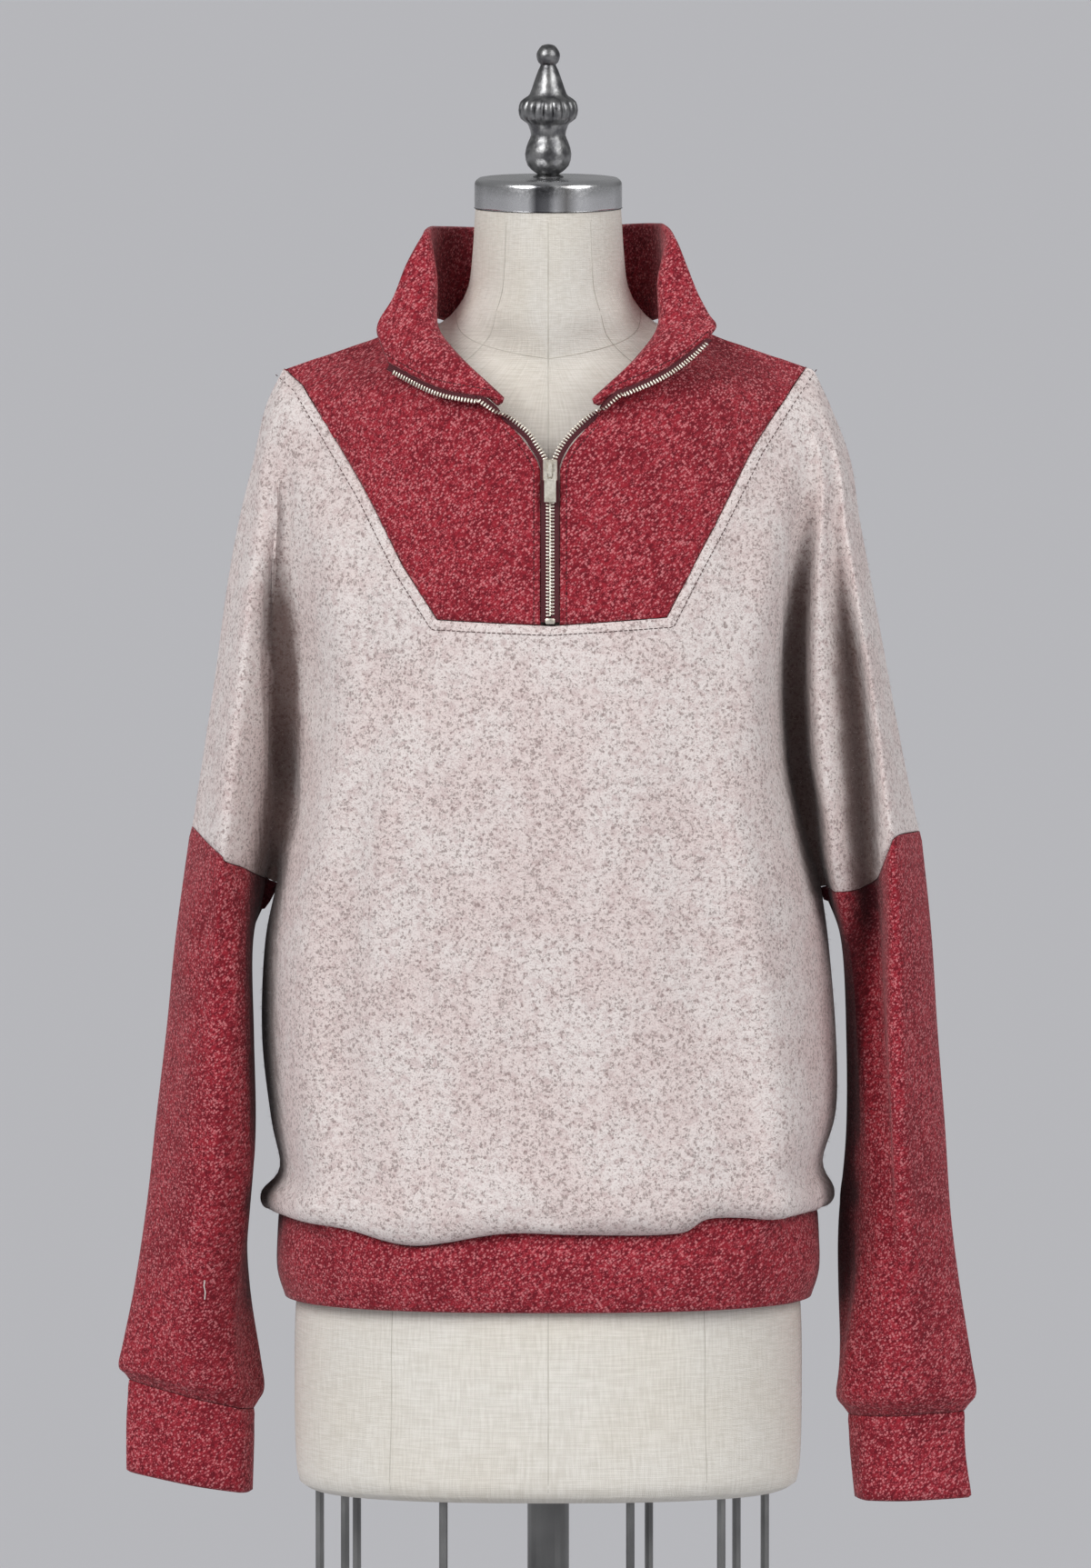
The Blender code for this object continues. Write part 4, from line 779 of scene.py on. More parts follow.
UNDERARM = 1 + len(UPPER[LEFT])
ROW_STEPS = np.array((2, 2, 2, 2, 2, 2, 1, 1, 2, 1, 2, 1, 1, 1, 1)) * FINE
SLEEVE_STEPS = np.array((2, 2, 2, 2, 2, 1, 1, 1, 1, 1)) * FINE
RAIL_FINE = np.array(RAIL_STEPS) * FINE
UNDERARM_ROW = int(sum(ROW_STEPS[:UNDERARM]))
VALLEY_COLUMN = int(sum(RAIL_FINE[:5]))
NECK_COLUMN = int(sum(RAIL_FINE[:3]))


def half_grid(control, side):
    """The surface through one half's rows and rails; below the underarm the sleeve's rails close up."""
    tall = spline(control, ROW_STEPS)
    tall[:UNDERARM_ROW + 1, 6:] = spline(control[:UNDERARM + 1, 6:], ROW_STEPS[:UNDERARM])
    side_seam = spline(control[UNDERARM:, 5], ROW_STEPS[UNDERARM:])
    tall[UNDERARM_ROW:, 5] = side_seam
    tall[UNDERARM_ROW + 1:, 6:] = side_seam[1:, None]
    grid = spline(tall.transpose(1, 0, 2), RAIL_FINE).transpose(1, 0, 2) * MM
    grid[:, :, 0] *= side
    return grid


def hem_dip(grid):
    """The last rows of the front hang lower in places, by a drop read along x."""
    xs, drops = spline(HEM_DIP, (8,) * (len(HEM_DIP) - 1)).T
    first = UNDERARM_ROW + 3 * FINE
    share = np.clip((np.arange(len(grid)) - first) / (len(grid) - 1 - first), 0, 1)[:, None]
    grid[:, :, 2] -= np.interp(grid[:, :, 0] / MM, xs, drops) * MM * share
    return grid


def ring_spline(points, steps):
    """The same curve round a closed ring: the first span joins on behind the last."""
    points = np.asarray(points, float)
    return spline(np.concatenate([points[-1:], points, points[:2]]), [1, *steps, 1])[1:-2]


def sleeve_grid(side, seam_ring):
    """Rows of the lower sleeve and cuff, from the ring of the sleeve's seam: eight rails round the arm."""
    rows = [seam_ring]
    for values in SLEEVE[side]:
        row = dict(zip(SLEEVE_COLUMNS, values))
        row["between_x"] = (row["back_x"] + row["rear_x"]) / 2
        row["between_y"] = max(row["back_y"], row["rear_y"]) + 0.08 * (row["back_x"] - row["rear_x"])
        names = ("under", "inner", "fold", "lobe", "over", "back", "between", "rear")
        x = np.array([row[f"{name}_x"] for name in names], float)
        y = np.array([row[f"{name}_y"] for name in names], float)
        share = np.clip((x - row["under_x"]) / (row["over_x"] - row["under_x"]), 0, 1)
        z = row["z_in"] + (row["z_out"] - row["z_in"]) * share
        rows.append(ring_spline(np.stack([x * side, y, z], axis=1), np.array(SLEEVE_RING_STEPS) * FINE) * MM)
    return np.array(rows)


blocks = []  # name, grid, whether its quads turn over, whether its columns close
front_grid, back_grid = {}, {}
controls = {side: front_rows(side) for side in (LEFT, RIGHT)}
centre_rail = (controls[LEFT][:, 0] + controls[RIGHT][:, 0]) / 2
for side, control in controls.items():
    control[:, 0] = centre_rail
    front_half = hem_dip(half_grid(control, side))
    behind = back_rows(control)
    behind[1:, 0, 2] = np.maximum(centre_rail[1:, 2], [BACK_TOP_Z] + [0] * (len(centre_rail) - 2))
    back_half = half_grid(behind, side)
    back_half[:UNDERARM_ROW + 1, -1] = front_half[:UNDERARM_ROW + 1, -1]
    back_half[UNDERARM_ROW:, VALLEY_COLUMN] = front_half[UNDERARM_ROW:, VALLEY_COLUMN]
    back_half[0, NECK_COLUMN:] = front_half[0, NECK_COLUMN:]
    for name, half, turned in (("front_panel", front_half, side < 0), ("back_panel", back_half, side > 0)):
        blocks.append((name, half[:UNDERARM_ROW + 1], turned, False))
        blocks.append((name, half[UNDERARM_ROW:, :VALLEY_COLUMN + 1], turned, False))
    seam_ring = np.concatenate([front_half[UNDERARM_ROW, VALLEY_COLUMN:-1],
                                back_half[UNDERARM_ROW, :VALLEY_COLUMN:-1]])
    sleeve = spline(sleeve_grid(side, seam_ring), SLEEVE_STEPS)
    cuff_row = int(sum(SLEEVE_STEPS[:CUFF_ROW]))
    label = "left" if side == LEFT else "right"
    blocks.append((f"lower_sleeve_{label}", sleeve[:cuff_row + 1], side < 0, True))
    blocks.append((f"cuff_{label}", sleeve[cuff_row:], side < 0, True))
    front_grid[side], back_grid[side] = front_half, back_half
hem = np.concatenate([front_grid[RIGHT][-1, VALLEY_COLUMN:0:-1], front_grid[LEFT][-1, :VALLEY_COLUMN],
                      back_grid[LEFT][-1, VALLEY_COLUMN:0:-1], back_grid[RIGHT][-1, :VALLEY_COLUMN]])
angle = np.arctan2(hem[:, 1] / 0.119, hem[:, 0] / 0.178)
cos, sin = np.cos(angle), np.sin(angle)
band_rings = [hem]
for z, half_x, front_y, back_y in BAND[1:]:
    x = half_x * np.sign(cos) * np.abs(cos) ** BAND_POWER
    y = np.where(hem[:, 1] < 0, -front_y, back_y) * np.sign(sin) * np.abs(sin) ** BAND_POWER
    band_rings.append(np.stack([x, y, np.full(len(hem), z)], axis=1) * MM)
blocks.append(("hem_band", spline(np.array(band_rings), (FINE, FINE, FINE)), True, True))

names = list(dict.fromkeys(block[0] for block in blocks)) + ["yoke_left", "yoke_right", "opening"]
loose, quads, owners = [], [], []
for name, grid, turned, closed in blocks:
    these = grid_faces(*grid.shape[:2], closed=closed) + sum(map(len, loose))
    quads.append(these[:, ::-1] if turned else these)
    owners.append(np.full(len(these), names.index(name)))
    loose.append(grid.reshape(-1, 3))
loose, quads, owners = np.concatenate(loose), np.concatenate(quads), np.concatenate(owners)
_, first, index = np.unique(np.round(loose * 1e5).astype(int), axis=0, return_index=True, return_inverse=True)
quads = index.reshape(-1)[quads]
spare = np.array([len(set(quad)) < 4 for quad in quads.tolist()])
skin = bpy.data.meshes.new("skin")
skin.from_pydata(loose[first].tolist(), [], quads[~spare].tolist())
skin.polygons.foreach_set("material_index", owners[~spare])


def in_outline(x, z, outline):
    """Whether points of a plane lie in a closed outline: an odd number of its sides is crossed."""
    inside = np.zeros(len(x), bool)
    for (x0, z0), (x1, z1) in zip(outline, outline[1:] + outline[:1]):
        crossed = (z0 > z) != (z1 > z)
        inside ^= crossed & (x < x0 + (z - z0) / np.where(crossed, z1 - z0, 1) * (x1 - x0))
    return inside


def mirrored(points, side):
    return [(x * side * MM, z * MM) for x, z in points]


ZIP_X = 1.2 * MM
ZIP_HALF_GAP = 6.1 * MM
NEAR_CUT = 6 * MM  # only faces this near a yoke's outline are cut by it
edges_of_zip = {side: ZIP_X + side * ZIP_HALF_GAP for side in (LEFT, RIGHT)}
yokes = {}
for side in (LEFT, RIGHT):
    yokes[side] = mirrored(YOKE_OUTLINE[side], side)
    yokes[side] += [(edges_of_zip[side], z * MM) for z in (YOKE_BOTTOM_Z, OPEN_EDGE[side][0][1])]
    yokes[side] += mirrored(OPEN_EDGE[side][1:], side) + [(0.05 * side, 1.60), (0.12 * side, 1.62)]
opening = mirrored(OPEN_EDGE[LEFT], LEFT)[::-1]
opening[-1] = (edges_of_zip[LEFT], opening[-1][1])
opening += [(edges_of_zip[LEFT], YOKE_BOTTOM_Z * MM), (edges_of_zip[RIGHT], YOKE_BOTTOM_Z * MM)]
opening += [(edges_of_zip[RIGHT], OPEN_EDGE[RIGHT][0][1] * MM)] + mirrored(OPEN_EDGE[RIGHT][1:], RIGHT)
opening += [(0.06, 1.60), (-0.06, 1.60)]

work = bmesh.new()
work.from_mesh(skin)
front_number = names.index("front_panel")
for outline in yokes.values():
    for start, end in zip(outline[:-2], outline[1:-1]):
        low, high = np.minimum(start, end) - NEAR_CUT, np.maximum(start, end) + NEAR_CUT
        near = [face for face in work.faces if face.material_index == front_number
                and low[1] < face.verts[0].co.z < high[1] and low[0] < face.verts[0].co.x < high[0]]
        parts = {edge for face in near for edge in face.edges}
        parts |= {vert for face in near for vert in face.verts}
        bmesh.ops.bisect_plane(work, geom=list(parts) + near, dist=1e-6, plane_co=(start[0], 0, start[1]),
                               plane_no=(end[1] - start[1], 0, start[0] - end[0]))
work.to_mesh(skin)
work.free()
middles = values_of(skin.polygons, "center", 3)
owners = values_of(skin.polygons, "material_index", kind=int)
on_front = owners == front_number
for label, outline in (("yoke_left", yokes[LEFT]), ("yoke_right", yokes[RIGHT]), ("opening", opening)):
    owners[on_front & in_outline(middles[:, 0], middles[:, 2], outline)] = names.index(label)


# ---------------------------------------------------------------------------------------------------
# Creases in the skin: soft ridges and troughs of a heavy jersey that hangs from the
# shoulders and blouses over the band. The back and the hidden sides have like ones of their own.

CREASES = (  # facing, x0, z0, x1, z1, bow, width, depth: a ridge stands out, a trough is negative
    (-1, -94, 1345, -114, 1015, 6, 24, 4.2), (-1, -108, 1400, -150, 1050, 8, 30, -6.0),
    (-1, -66, 1290, -80, 1040, 8, 22, -1.8), (-1, -30, 1260, -44, 1030, 4, 26, 1.4),
    (-1, 100, 1345, 148, 1010, -7, 21, 4.6), (-1, 122, 1350, 170, 1040, -8, 24, -5.5),
    (-1, 68, 1300, 104, 1040, -6, 24, -3.0), (-1, 28, 1250, 52, 1040, -4, 28, 1.2),
    (-1, -170, 1490, -162, 1205, 14, 11, -9.0), (-1, 172, 1490, 176, 1205, 12, 11, -5.5),
    (-1, 158, 1290, 176, 1215, -8, 9, -3.0), (-1, -158, 1300, -150, 1210, 6, 11, -2.2),
    (-1, -118, 1440, -126, 1330, 5, 20, -1.8), (-1, 122, 1440, 130, 1330, -5, 20, -2.0),
    (-1, -206, 1480, -224, 1300, 5, 10, -1.6), (-1, 208, 1470, 232, 1290, -5, 12, -2.2),
    (-1, -212, 1240, -226, 1100, 6, 13, -2.4), (-1, -236, 1200, -246, 960, -8, 14, 1.8),
    (-1, 214, 1215, 232, 900, 5, 9, -6.5), (-1, 228, 1215, 244, 930, 5, 9, 3.0),
    (-1, 202, 1190, 204, 1000, 4, 9, -2.5), (-1, -206, 1240, -214, 1080, 3, 9, -4.0),
    (-1, -232, 930, -262, 905, 5, 8, -2.2), (-1, 232, 930, 262, 902, -5, 8, -2.4),
    (-1, -240, 870, -262, 885, 3, 7, -2.0), (-1, 262, 850, 240, 838, 2, 7, -1.8),
    (1, 0, 1500, 6, 1300, 6, 40, -2.4), (1, 62, 1460, 84, 1060, 9, 26, 3.0),
    (1, -60, 1470, -88, 1050, -8, 28, 3.0), (1, -120, 1400, -134, 1120, 6, 20, -3.0),
    (1, 120, 1390, 136, 1110, -6, 22, -3.0),
    (1, 26, 1250, 34, 1040, 5, 24, -2.2), (1, -30, 1280, -40, 1030, 5, 22, -2.2),
    (1, 226, 1180, 244, 960, 6, 14, -2.2), (1, -226, 1190, -242, 950, -6, 14, -2.2),
    (1, 205, 1440, 224, 1280, 5, 12, -1.8), (1, -205, 1450, -222, 1290, 5, 12, -1.8),
)
BAND_WAVES = ((9.0, 0.4, 0.9), (5.3, 1.9, 0.6), (3.1, 0.8, 0.35))  # length, start and depth along the hem
HEM_SEAM_Z = BAND[0][0]
BODY_REACH = 194  # the body's side; the sleeves are farther out


def crease_depth(points, normals):
    """The sum over creases of depth x cos2 of the distance across a bowed line, fading in and out
    along it, on cloth that faces the crease's way; and puckers that run up from the hem's seam."""
    x, z = points[:, 0] / MM, points[:, 2] / MM
    total = np.zeros(len(points))
    for facing, x0, z0, x1, z1, bow, width, depth in CREASES:
        run = np.hypot(x1 - x0, z1 - z0)
        along = ((x - x0) * (x1 - x0) + (z - z0) * (z1 - z0)) / run ** 2
        aside = ((x - x0) * (z1 - z0) - (z - z0) * (x1 - x0)) / run
        inside = np.clip(along, 0, 1)
        across = np.abs(aside - bow * 4 * inside * (1 - inside)) / width
        fade = np.sin(inside * math.pi) ** 0.8
        shape = np.where(across < 1, np.cos(np.clip(across, 0, 1) * math.pi / 2) ** 2, 0)
        total += depth * fade * shape * np.clip(normals[:, 1] * facing * 3, 0, 1)
    over_seam = np.clip((z - HEM_SEAM_Z) / 8, 0, 1) * np.exp(-np.clip(z - HEM_SEAM_Z - 6, 0, None) / 22)
    turn = np.arctan2(points[:, 1], points[:, 0] * 0.66) * 118
    pucker = sum(depth * np.sin(turn / length + start + 1.7 * np.sin(turn / 61))
                 for length, start, depth in BAND_WAVES)
    body = (np.abs(x) < BODY_REACH) & (z > HEM_SEAM_Z)
    return (total + np.where(body, pucker * over_seam, 0)) * MM


def skin_arrays():
    skin.update()
    return values_of(skin.vertices, "co", 3), values_of(skin.vertex_normals, "vector", 3)


points, normals = skin_arrays()
points = points + normals * crease_depth(points, normals)[:, None]
skin.vertices.foreach_set("co", points.ravel())
points, normals = skin_arrays()


# A map of how deep the skin lies in trenches, seen from the front and from the back; it darkens the cloths'
# colour as painted shade.
HOLLOW_CELL = 3 * MM
HOLLOW_REACH = 9  # cells to each side
HOLLOW_DEEP = 18 * MM  # where it is darkest
HOLLOW_CORNER = (-0.3, 0.75)  # x and z of the map's first cell
HOLLOW_CELLS = (201, 281)


def hollow_cells(places):
    """The map's cell for each place, by its x and z."""
    cells = np.round((places[:, ::2] - HOLLOW_CORNER) / HOLLOW_CELL).astype(int)
    return np.clip(cells, 0, np.array(HOLLOW_CELLS) - 1).T


def hollow_map(facing):
    """How deep the skin lies in a trench, on a grid of x and z seen from the front or the back: the
    depth behind its nearer wall, where a wall is the foremost skin within reach on that side."""
    mine = normals[:, 1] * facing > 0.02
    i, j = hollow_cells(points[mine])
    fore = np.full(HOLLOW_CELLS, -1.0)
    np.maximum.at(fore, (i, j), points[mine, 1] * facing)
    for axis in (1, 0, 1, 1):  # cells the skin's points missed
        fore = np.where(fore > -1, fore, np.maximum(np.roll(fore, 1, axis), np.roll(fore, -1, axis)))
    behind_left = np.max([np.roll(fore, step, axis=0) for step in range(1, HOLLOW_REACH)], axis=0)
    behind_right = np.max([np.roll(fore, -step, axis=0) for step in range(1, HOLLOW_REACH)], axis=0)
    deep = np.where(fore > -1, np.minimum(behind_left, behind_right) - fore, 0)
    deep = np.clip(deep / HOLLOW_DEEP, 0, 1)
    for step in (1, 2, 1):
        deep = (deep * 2 + np.roll(deep, step, 0) + np.roll(deep, -step, 0)
                + np.roll(deep, step, 1) + np.roll(deep, -step, 1)) / 6
    return deep


def add_hollow(mesh, places, out):
    """Each vertex's share of painted shade from the trench it lies in, for the cloth's colour."""
    i, j = hollow_cells(places)
    share = np.where(out < 0, HOLLOWS[-1][i, j], HOLLOWS[1][i, j])
    mesh.attributes.new("hollow", "FLOAT", "POINT").data.foreach_set("value", share)


HOLLOWS = {facing: hollow_map(facing) for facing in (-1, 1)}


def shell_of(mesh, points, normals, chosen, wall, gap, ditch, free):
    """A closed wall from some of a mesh's faces. Points on the cut edge move back by half the gap and
    sink by the ditch; where free says so the edge is a fold instead, rounded by a third of the wall."""
    starts = values_of(mesh.polygons, "loop_start", kind=int)
    totals = values_of(mesh.polygons, "loop_total", kind=int)
    faces_out = values_of(mesh.polygons, "normal", 3)
    corner = values_of(mesh.loops, "vertex_index", kind=int)
    owner = np.repeat(np.arange(len(starts)), totals)
    after = np.arange(len(corner)) + 1
    after[starts + totals - 1] = starts
    mine = chosen[owner]
    a, b, face = corner[mine], corner[after[mine]], owner[mine]
    used, index = np.unique(a, return_inverse=True)
    number = np.full(len(points), -1)
    number[used] = np.arange(len(used))
    keys = np.minimum(a, b) * len(points) + np.maximum(a, b)
    _, where, count = np.unique(keys, return_index=True, return_counts=True)
    rim = where[count == 1]
    ra, rb = number[a[rim]], number[b[rim]]
    back = unit(np.cross(faces_out[face[rim]], unit(points[b[rim]] - points[a[rim]])))
    push = np.zeros((len(used), 3))
    np.add.at(push, ra, back)
    np.add.at(push, rb, back)
    on_rim = np.linalg.norm(push, axis=1) > 1e-6
    push[on_rim] = unit(push[on_rim])
    spread = np.zeros(len(used))
    np.maximum.at(spread, ra, np.sum(push[ra] * back, axis=1))
    np.maximum.at(spread, rb, np.sum(push[rb] * back, axis=1))
    place, out = points[used], normals[used]
    folded = free(place) & on_rim
    place = place + push * (gap / 2 / np.clip(spread, 0.3, 1))[:, None]
    outer = place - out * (ditch * (on_rim & ~folded))[:, None]
    inner = place - out * wall
    middle = (place + inner) / 2 - push * (folded * wall * 0.34)[:, None]
    size = len(used)
    shell_faces = []
    for polygon in np.flatnonzero(chosen):
        ring = number[corner[starts[polygon]:starts[polygon] + totals[polygon]]]
        shell_faces.append(ring.tolist())
        shell_faces.append((ring[::-1] + size).tolist())
    for low, high in ((0, 2 * size), (2 * size, size)):
        shell_faces += np.stack([rb + low, ra + low, ra + high, rb + high], axis=1).tolist()
    kept = np.zeros(3 * size, bool)
    kept[:2 * size] = True
    kept[2 * size:] = on_rim
    renumber = np.cumsum(kept) - 1
    shell_faces = [[int(renumber[v]) for v in ring] for ring in shell_faces]
    return np.concatenate([outer, inner, middle])[kept], shell_faces, np.tile(out[:, 1], 3)[kept]


def nowhere(place):
    return np.zeros(len(place), bool)


def below(height):
    return lambda place: place[:, 2] < height


# Each cut piece: its cloth, wall, where its edge is a fold, and the rectangle it is cut from with the
# area of the cut, in metres. The front and back each take in half of both upper sleeves.
CUT = {
    "front_panel": ("cream_jersey", CLOTH_WALL, nowhere, (0.66, 0.60), 0.27),
    "back_panel": ("cream_jersey", CLOTH_WALL, nowhere, (0.66, 0.64), 0.31),
    "yoke_left": ("red_jersey", CLOTH_WALL, nowhere, (0.18, 0.20), 0.023),
    "yoke_right": ("red_jersey", CLOTH_WALL, nowhere, (0.18, 0.20), 0.023),
    "lower_sleeve_left": ("red_jersey", CLOTH_WALL, nowhere, (0.29, 0.39), 0.095),
    "lower_sleeve_right": ("red_jersey", CLOTH_WALL, nowhere, (0.29, 0.39), 0.095),
    "cuff_left": ("red_jersey", DOUBLE_WALL, below(0.83), (0.21, 0.06), 0.0125),
    "cuff_right": ("red_jersey", DOUBLE_WALL, below(0.83), (0.21, 0.06), 0.0125),
    "hem_band": ("red_jersey", DOUBLE_WALL, below(0.94), (0.98, 0.06), 0.057),
}
for name, (cloth, wall, free, flat, area) in CUT.items():
    mine = owners == names.index(name)
    shape, faces, out = shell_of(skin, points, normals, mine, wall, SEAM_GAP, SEAM_DITCH, free)
    piece = new_piece(name + "_cloth", shape, faces, CLOTHS[cloth], cloth, crease=75)
    add_hollow(piece.data, shape, out)
    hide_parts(name)


# ---------------------------------------------------------------------------------------------------
# The collar: a doubled stand of red jersey, sewn to the neckline and opened at the front, where it
# rolls outwards over the yoke and turns down to the zip.

# Stations from the zip's end to the back: where the seam lies along the neckline (in rails), and the
# middle of the collar's height and its top edge.
COLLAR_COLUMNS = ("along", "mid_x", "mid_y", "mid_z", "top_x", "top_y", "top_z")
COLLAR = {
    LEFT: (
        (0.0, 70, -90, 1535, 104, -66, 1550),
        (0.4, 80, -82, 1548, 109, -58, 1562),
        (0.8, 87, -71, 1561, 111, -49, 1573),
        (1.1, 87, -61, 1574, 101, -44, 1590),
        (1.35, 82, -50, 1590, 92, -37, 1612),
        (1.6, 75, -37, 1602, 81, -28, 1631),
        (2.0, 79, -2, 1604, 78, 2, 1633),
        (2.5, 73, 32, 1601, 71, 37, 1631),
        (3.0, 55, 56, 1597, 54, 62, 1629),
        (4.0, 29, 72, 1592, 29, 79, 1627),
        (5.0, 0, 78, 1591, 0, 84, 1626),
    ),
    RIGHT: (
        (0.0, 72, -88, 1545, 104, -66, 1566),
        (0.4, 80, -80, 1557, 109, -56, 1573),
        (0.8, 84, -69, 1567, 104, -45, 1580),
        (1.1, 84, -57, 1577, 97, -39, 1593),
        (1.35, 80, -49, 1589, 91, -35, 1608),
        (1.6, 74, -37, 1602, 83, -26, 1627),
        (2.0, 78, -2, 1604, 77, 2, 1634),
        (2.5, 73, 32, 1602, 71, 37, 1633),
        (3.0, 55, 56, 1598, 54, 62, 1631),
        (4.0, 29, 72, 1593, 29, 79, 1628),
        (5.0, 0, 78, 1591, 0, 84, 1626),
    ),
}

COLLAR_LIFT = 0.0032  # its seam stands this far off the neckline
COLLAR_STAND = 0.0085  # and it rolls outwards from this height
COLLAR_FRONT_RISE = (0.0, -0.62, 0.78)  # the way its stand leans at the front


def collar_grid():
    """Columns from the left zip end round the back to the right, rows from the seam to the top edge."""
    neck = np.array(FIRST_ROWS["shoulder"][1:4] + BACK_NECK[2::-1], float)
    halves = []
    for side in (LEFT, RIGHT):
        path = spline(neck * (side, 1, 1) * MM, (8,) * (len(neck) - 1))
        half = []
        for values in COLLAR[side]:
            row = dict(zip(COLLAR_COLUMNS, values))
            seam = path[min(int(round(row["along"] * 8)), len(path) - 1)]
            middle, top = (np.array([row[f"{part}_x"] * side, row[f"{part}_y"], row[f"{part}_z"]]) * MM
                           for part in ("mid", "top"))
            rolled = min(max((1.7 - row["along"]) / 0.6, 0), 1)
            rise = unit(unit(middle - seam) * (1 - rolled) + np.array(COLLAR_FRONT_RISE) * rolled)
            half.append([seam + rise * COLLAR_LIFT, seam + rise * COLLAR_STAND, middle, top])
        halves.append(half)
    whole = np.array(halves[0] + halves[1][-2::-1])
    wide = spline(whole, (8,) * (len(whole) - 1))
    return spline(wide.transpose(1, 0, 2), (4, 12, 12))


collar_surface = collar_grid()
collar_faces = grid_faces(*collar_surface.shape[:2])
collar_sheet = bpy.data.meshes.new("collar_sheet")
collar_sheet.from_pydata(collar_surface.reshape(-1, 3).tolist(), [], collar_faces[:, ::-1].tolist())
collar_sheet.update()
collar_normals = values_of(collar_sheet.vertex_normals, "vector", 3)
collar_points = collar_surface.reshape(-1, 3) + collar_normals * DOUBLE_WALL / 2
shape, faces = shell_of(collar_sheet, collar_points, collar_normals, np.ones(len(collar_faces), bool),
                        DOUBLE_WALL, 0.0, 0.0, below(math.inf))[:2]
collar = new_piece("collar_cloth", shape, faces, CLOTHS["red_jersey"], "red_jersey", crease=75)
tidy_normals(collar)
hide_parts("collar")


# ---------------------------------------------------------------------------------------------------
# The zip: woven burgundy tape down both sides of the opening and along the collar's front edges, a
# row of small metal teeth on each, closed up to the slider and open above it, and a bottom stop.

NEAR_PLACES = 12 * MM  # the skin's points this near a line are looked at
TAPE_WIDTH = 5.2 * MM
TAPE_THICK = 1.0 * MM
TAPE_DARK = (0.035, 0.005, 0.008, 1)
TAPE_LIGHT = (0.12, 0.016, 0.024, 1)
TOOTH_PITCH = 2.2 * MM
TOOTH = (3.1 * MM, 1.25 * MM, 1.7 * MM)  # across the zip, along it, and through it
STOP = (6.2 * MM, 3.6 * MM, 2.4 * MM)


def front_places(places):
    """Points and outward normals on the front skin at (x, z) places: the tangent planes of the nearest
    four points, weighted by the inverse square of their distance."""
    low, high = places.min(axis=0) - NEAR_PLACES, places.max(axis=0) + NEAR_PLACES
    near = ((points[:, ::2] > low) & (points[:, ::2] < high)).all(axis=1)
    mine = near & (points[:, 1] < 0) & (normals[:, 1] < -0.2)
    cloud, out = points[mine], normals[mine]
    apart = places[:, None] - cloud[None, :, ::2]
    away = np.hypot(apart[..., 0], apart[..., 1])
    near = np.argpartition(away, 4, axis=1)[:, :4]
    weight = 1 / (np.take_along_axis(away, near, axis=1) + 1e-5) ** 2
    weight = weight / weight.sum(axis=1, keepdims=True)
    step = np.take_along_axis(apart, near[..., None], axis=1)
    lean = (step[..., 0] * out[near, 0] + step[..., 1] * out[near, 2]) / out[near, 1]
    depth = ((cloud[near, 1] - lean) * weight).sum(axis=1)
    outward = unit((out[near] * weight[..., None]).sum(axis=1))
    return np.stack([places[:, 0], depth, places[:, 1]], axis=1), outward


def evenly(path, pitch, *others):
    """A path, and values that go with it, resampled at an even pitch along its length."""
    walked = np.concatenate([[0], np.cumsum(np.linalg.norm(np.diff(path, axis=0), axis=1))])
    stops = np.arange(0, walked[-1], pitch)
    return [np.stack([np.interp(stops, walked, line[:, k]) for k in range(3)], axis=1)
            for line in (path, *others)]


def tape_line(side):
    """The middle of one tape, its direction away from the cloth's edge and its outward direction."""
    inset = TAPE_WIDTH / 2 + 0.2 * MM
    heights = np.linspace(YOKE_BOTTOM_Z + 2, OPEN_EDGE[side][0][1] - 1, 12)
    edge = [(edges_of_zip[side], z * MM) for z in heights]
    edge = np.array(edge + mirrored(OPEN_EDGE[side][1:-3], side))
    run = along_path(edge)
    aside = np.stack([run[:, 1], -run[:, 0]], axis=1) * -side
    on_front, out = front_places(edge)
    away = np.stack([aside[:, 0], np.zeros(len(aside)), aside[:, 1]], axis=1)
    lower = on_front + away * inset - out * CLOTH_WALL * 0.25
    rows = collar_surface[:, 0] if side == LEFT else collar_surface[:, -1]
    beside = collar_surface[:, 2] if side == LEFT else collar_surface[:, -3]
    rise = along_path(rows)
    off = rows - beside
    off = unit(off - rise * np.sum(off * rise, axis=1, keepdims=True))
    upper = (rows + off * (inset + 0.3 * MM))[8:]
    middle = np.concatenate([lower, upper])
    aways = np.concatenate([away, off[8:]])
    return evenly(spline(middle, (4,) * (len(middle) - 1)), 1.1 * MM, spline(aways, (4,) * (len(aways) - 1)))


def bar_rings(run, across, out, width, thick, corner=0.3):
    """Eight points round a bar's section at each place: a rectangle with its corners cut off."""
    near = 0.5 - corner * 0.5
    u = np.array([-near, near, 0.5, 0.5, near, -near, -0.5, -0.5])
    v = np.array([-0.5, -0.5, -near, near, 0.5, 0.5, near, -near])
    return run[:, None] + across[:, None] * u[:, None] * width + out[:, None] * v[:, None] * thick


def closed_bar(rings_of_bar):
    """Faces of one bar whose rings follow one another, with an end cap at each end."""
    count = rings_of_bar.shape[1]
    last = (len(rings_of_bar) - 1) * count
    return (grid_faces(len(rings_of_bar), count, closed=True).tolist()
            + [list(range(count)), list(range(last, last + count))[::-1]])


def many_bars(centres, run, across, out, size, taper):
    """A short bar at each place: three rings along its own length, the end ones smaller by the taper."""
    width, length, thick = size
    shapes = []
    for step, scale in ((-0.5, taper), (-0.28, 1.0), (0.28, 1.0), (0.5, taper)):
        shapes.append(bar_rings(centres + run * step * length, across, out, width * scale, thick * scale))
    shapes = np.stack(shapes, axis=1)
    one = closed_bar(shapes[0])
    count = shapes.shape[1] * shapes.shape[2]
    return shapes.reshape(-1, 3), [[v + count * n for v in face] for n in range(len(centres)) for face in one]


